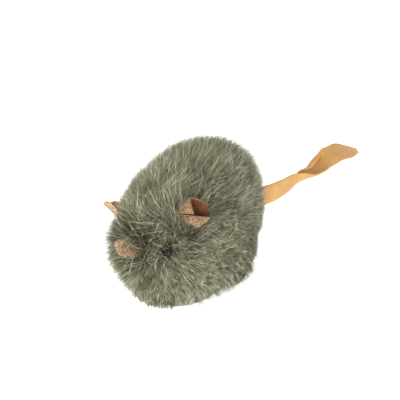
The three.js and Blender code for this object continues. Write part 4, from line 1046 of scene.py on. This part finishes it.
def hair_reach(roots, facing):
    """How far out each tip ends, as a share of the fur's form."""
    count = len(roots)
    reach = layered(roots, REACH_LUMPS, REACH) + rng.normal(scale=REACH_SPREAD, size=count)
    for share, sign, least, most in (SHORT_STRANDS, LONG_STRANDS):
        chosen = rng.random(count) < share
        reach = np.where(chosen, reach + sign * rng.uniform(least, most, count), reach)
    middles = roots + facing * HAIR_LENGTH * VEIL_HEIGHT
    for place, ahead, spread, gain in VEILS:
        away = middles - np.array(place) - np.array(picture_back) * ahead
        reach = reach + gain * nearness(away, spread)
    return reach


def fitted_lengths(roots, start, bend, reach):
    """Lengths that bring the tips out to their reach, found in a few rounds."""
    length = np.full(len(roots), HAIR_LENGTH)
    base = fullness(roots, fur_form)
    for _ in range(5):
        tips = strands(roots, start, bend, length, hair_steps[-1:])[:, 0]
        gained = np.maximum(fullness(tips, fur_form) - base, 0.02)
        length = length * np.clip((reach - base) / gained, 0.5, 1.6)
    return length


def hair_tints(roots, guides, clump):
    """Each strand's place from 0 to 1 among the hair's tints."""
    count = len(roots)
    tint = layered(roots, TINT_PATCHES, TINT_MIDDLE)
    tint = tint + TUFT_TINT * rng.normal(size=len(guides))[clump] + STRAND_TINT * rng.normal(size=count)
    tint = np.where(rng.random(count) < PALE_SHARE, tint + PALE_TINT, tint)
    return np.clip(tint, 0.02, 0.98)


def grown_hair():
    """Every strand's points from root to tip, with its outward direction and tint."""
    roots, facing = hair_roots()
    count = len(roots)
    guides = rng.permutation(count)[: int(count * CLUMP_SHARE)]
    clump = nearest_guides(roots, guides)
    start, bend = hair_ways(roots, facing, guides, clump)
    reach = hair_reach(roots, facing)
    ahead = np.clip((centre[1] - SKIRT_FRONT - roots[:, 1]) / SKIRT_FRONT, 0, 1)
    wheel = nearness(roots[:, 1:2] - box_middle("tyre_left")[1], WHEEL_COVER_LENGTH)
    length = fitted_lengths(roots, start, bend, reach)
    covered = SKIRT_LENGTH * (1 - SKIRT_FRONT_LESS * ahead) + WHEEL_COVER * wheel
    length = length + above_hem(roots, SKIRT_ROOM) * (covered * reach - length)
    points = strands(roots, start, bend, np.clip(length, *HAIR_LENGTHS), hair_steps)
    pull = rng.uniform(0.0, CLUMP_PULL, count)[:, None] * hair_steps[None] ** CLUMP_POWER
    points = points + pull[..., None] * (points[guides][clump] - points)
    lowest = rng.uniform(*LOWEST_HAIR, count) + FRONT_HIGHER * ahead - WHEEL_LOWER * wheel
    points[..., 2] = np.maximum(points[..., 2], floor_height + lowest[:, None] * MM)
    return points, facing, hair_tints(roots, guides, clump)


# Room in the hair: each eye's opening, and how deep it goes
EYE_OPENINGS, EYE_DEPTH = (1.3 * MM, 0.8 * MM), 2 * MM
# Each ear's cone opens over its reach to its radius, starts at its root, is raised and pressed
# back, and ends in front at a share of its height
LEFT_EAR_ROOM = dict(
    reach=13 * MM, radius=7.0 * MM, rise=1.1 * MM, root=0.5 * MM, front=0.60, press=LEFT_EAR_PRESS
)
RIGHT_EAR_ROOM = dict(reach=13 * MM, radius=3.0 * MM, rise=0, root=2.5 * MM, front=1, press=0)
EAR_ROOM_WIDEST, EAR_ROOM_END = 1.3, 1.25
# The nose stands free between these shares of its length, in a room that narrows
NOSE_ROOM = 3.4 * MM
NOSE_FREE_FROM, NOSE_FREE_TO = 0.80, 1.3
NOSE_NARROWS_TO, NOSE_NARROWEST = 1.35, 0.3
# How much of a step before the trim a strand ends, and how much of it has to be left
CUT_BEFORE, LEAST_LEFT = 0.8, 0.4


def in_cone(points, apex, axes, reach, radius, rise, root, front, press):
    """Whether each point lies in a cone that opens along an ear, behind the leaf's front."""
    near_way, across_way, along_way = (np.array(axis) for axis in axes)
    away = points - np.array(apex) - rise * np.array(picture_up)
    depth = away @ np.array(picture_back)
    away = away + np.multiply.outer(depth * press / (1 - press), np.array(picture_back))
    height = away @ along_way
    near, across = away @ near_way, away @ across_way
    wide = radius * np.clip(height / reach, 0, EAR_ROOM_WIDEST)
    opened = (height > root) & (height < EAR_ROOM_END * reach) & (near < front * height)
    return opened & (np.hypot(near, across) < wide)


def from_line(points, place, way):
    """How far points lie along a line from a place, and how far beside it."""
    away = points - place
    along = away @ way
    return along, norm(away - along[..., None] * way, axis=-1)


def near_tail(points):
    """Whether each point lies in the way of the tail's first frames."""
    room_along, room_out = 1.0 * MM, 0.8 * MM
    inside = np.zeros(points.shape[:-1], bool)
    frames, _ = tail_frames(60)
    for point, sideways, facing, half in frames[:14]:
        away = points - np.array(point)
        along = away @ np.array(sideways.cross(facing))
        across, out = away @ np.array(sideways), away @ np.array(facing)
        inside |= (np.abs(along) < room_along) & (np.abs(across) < half) & (np.abs(out) < room_out)
    return inside


def inside_trim(points):
    """Which points lie where the eyes, ears, nose and tail need room."""
    inside = near_tail(points)
    for eye, open_to in zip(eye_middles, EYE_OPENINGS):
        above, beside = from_line(points, eye, outward(eye[None], fur_form)[0])
        inside |= (beside < open_to) & (above > -EYE_DEPTH)
    inside |= in_cone(points, LEFT_EAR_APEX, left_axes, **LEFT_EAR_ROOM)
    inside |= in_cone(points, RIGHT_EAR_APEX, right_axes, **RIGHT_EAR_ROOM)
    ahead, beside = from_line(points, np.array(NOSE_ROOT), unit(np.array(NOSE_TIP - NOSE_ROOT)))
    ahead = ahead / nose_length
    room = NOSE_ROOM * np.clip(NOSE_NARROWS_TO - ahead, NOSE_NARROWEST, 1)
    inside |= (beside < room) & (ahead > NOSE_FREE_FROM) & (ahead < NOSE_FREE_TO)
    return inside


def cut_to_trim(points):
    """Strands that end before the trim, and which of them are long enough to keep."""
    inside = inside_trim(points)
    first = np.where(inside.any(axis=1), inside.argmax(axis=1), HAIR_SEGMENTS + 1)
    share = np.clip((first - CUT_BEFORE) / HAIR_SEGMENTS, 0, 1)
    place = share[:, None] * np.arange(HAIR_SEGMENTS + 1)[None]
    lower = np.minimum(place.astype(int), HAIR_SEGMENTS - 1)
    part = (place - lower)[..., None]
    rows = np.arange(len(points))[:, None]
    cut = points[rows, lower] * (1 - part) + points[rows, lower + 1] * part
    return cut, share > LEAST_LEFT


def ribbon_points(points, facing):
    """Two points at each step of every strand and one at its tip."""
    turn, widths, taper = 0.9, (0.6, 1.25), 0.75
    count = len(points)
    tangents = unit(np.gradient(points, axis=1))
    turned = facing + turn * rng.normal(size=facing.shape)
    sideways = unit(np.cross(tangents, turned[:, None]))
    widths = HAIR_WIDTH / 2 * rng.uniform(*widths, count)[:, None] * (1 - taper * hair_steps**2)[None]
    offset = (sideways * widths[..., None])[:, :-1]
    middle = points[:, :-1]
    pairs = np.stack((middle - offset, middle + offset), axis=2)
    return np.concatenate((pairs.reshape(count, -1, 3), points[:, -1:]), axis=1)


def strand_mesh(name, points, facing, tint):
    """Thin ribbons that taper to a point, as one mesh."""
    map_half, map_root, map_length = 0.006, 0.01, 0.98
    count, rings = len(points), HAIR_SEGMENTS
    vertices = ribbon_points(points, facing)
    strand = np.arange(count)[:, None]
    quads = np.array([(2 * i, 2 * i + 1, 2 * i + 3, 2 * i + 2) for i in range(rings - 1)])
    corners = np.concatenate((quads.ravel(), (2 * rings - 2, 2 * rings - 1, 2 * rings)))
    loops = (corners[None] + vertices.shape[1] * strand).ravel()
    starts = (np.arange(0, 4 * rings, 4)[None] + len(corners) * strand).ravel()
    mesh = bpy.data.meshes.new(name)
    mesh.vertices.add(count * vertices.shape[1])
    mesh.vertices.foreach_set("co", vertices.ravel())
    mesh.loops.add(len(loops))
    mesh.loops.foreach_set("vertex_index", loops.astype(np.int32))
    mesh.polygons.add(len(starts))
    mesh.polygons.foreach_set("loop_start", starts.astype(np.int32))
    mesh.update(calc_edges=True)
    mesh.polygons.foreach_set("use_smooth", np.ones(len(starts), bool))
    side = np.append(np.tile((-1.0, 1.0), rings), 0.0)
    level = np.append(np.repeat(hair_steps[:rings], 2), 1.0)
    u = tint[:, None] + map_half * side[corners][None]
    v = np.broadcast_to(map_root + map_length * level[corners][None], u.shape)
    layer = mesh.uv_layers.new(name=HAIR_MAP)
    layer.data.foreach_set("uv", np.stack((u, v), axis=-1).ravel().astype(np.float32))
    mesh.materials.append(finishes["fur"])
    return add_object(name, mesh)


def add_hair():
    """All strands, in pieces from front to rear."""
    points, facing, tint = grown_hair()
    points, kept = cut_to_trim(points)
    points, facing, tint = points[kept], facing[kept], tint[kept]
    order = np.argsort(points[:, 0, 1], kind="stable")
    pieces = ceil(len(order) / STRANDS_IN_PIECE)
    for number, part in enumerate(np.array_split(order, pieces)):
        made = strand_mesh(f"fur_band_{number + 1}", points[part], facing[part], tint[part])
        joined_to(made, "fur", "fur_coat")


add_hair()


# Floor and light
# Azimuth and elevation in degrees, distance and size in metres, and power in watts
SOFTBOXES = {
    "key": (12, 26, 0.9, 0.5, 12),
    "fill": (85, 20, 1.0, 0.8, 4),
    "rim": (222, 18, 1.2, 0.8, 9),
}
WHITE = (1, 1, 1, 1)


def add_floor():
    half = 4.0
    corners = [(-half, -half), (half, -half), (half, half), (-half, half)]
    mesh = bpy.data.meshes.new("floor")
    mesh.from_pydata([(x, y, floor_height) for x, y in corners], [], [(0, 1, 2, 3)])
    paper = Nodes("floor_paper", Roughness=0.9, Emission_Color=WHITE, Emission_Strength=0.72)
    paper.colour(paper.ramp(paper.noise(30), [(0.3, 0.86), (0.7, 0.88)]))
    mesh.materials.append(paper.material)
    add_object("floor", mesh)


def add_light():
    world = bpy.data.worlds.new("studio")
    world.use_nodes = True
    set_inputs(world.node_tree.nodes["Background"], Color=WHITE, Strength=0.52)
    scene.world = world
    for name, (azimuth, elevation, distance, size, power) in SOFTBOXES.items():
        data = bpy.data.lights.new(name, "AREA")
        data.energy, data.size = power, size
        lamp = add_object(name, data)
        way = picture_axes(azimuth, elevation, 0)[2]
        lamp.location = body_centre + way * distance
        lamp.rotation_mode = "QUATERNION"
        lamp.rotation_quaternion = way.to_track_quat("Z", "Y")
    scene.view_settings.view_transform = "Standard"


add_floor()
add_light()
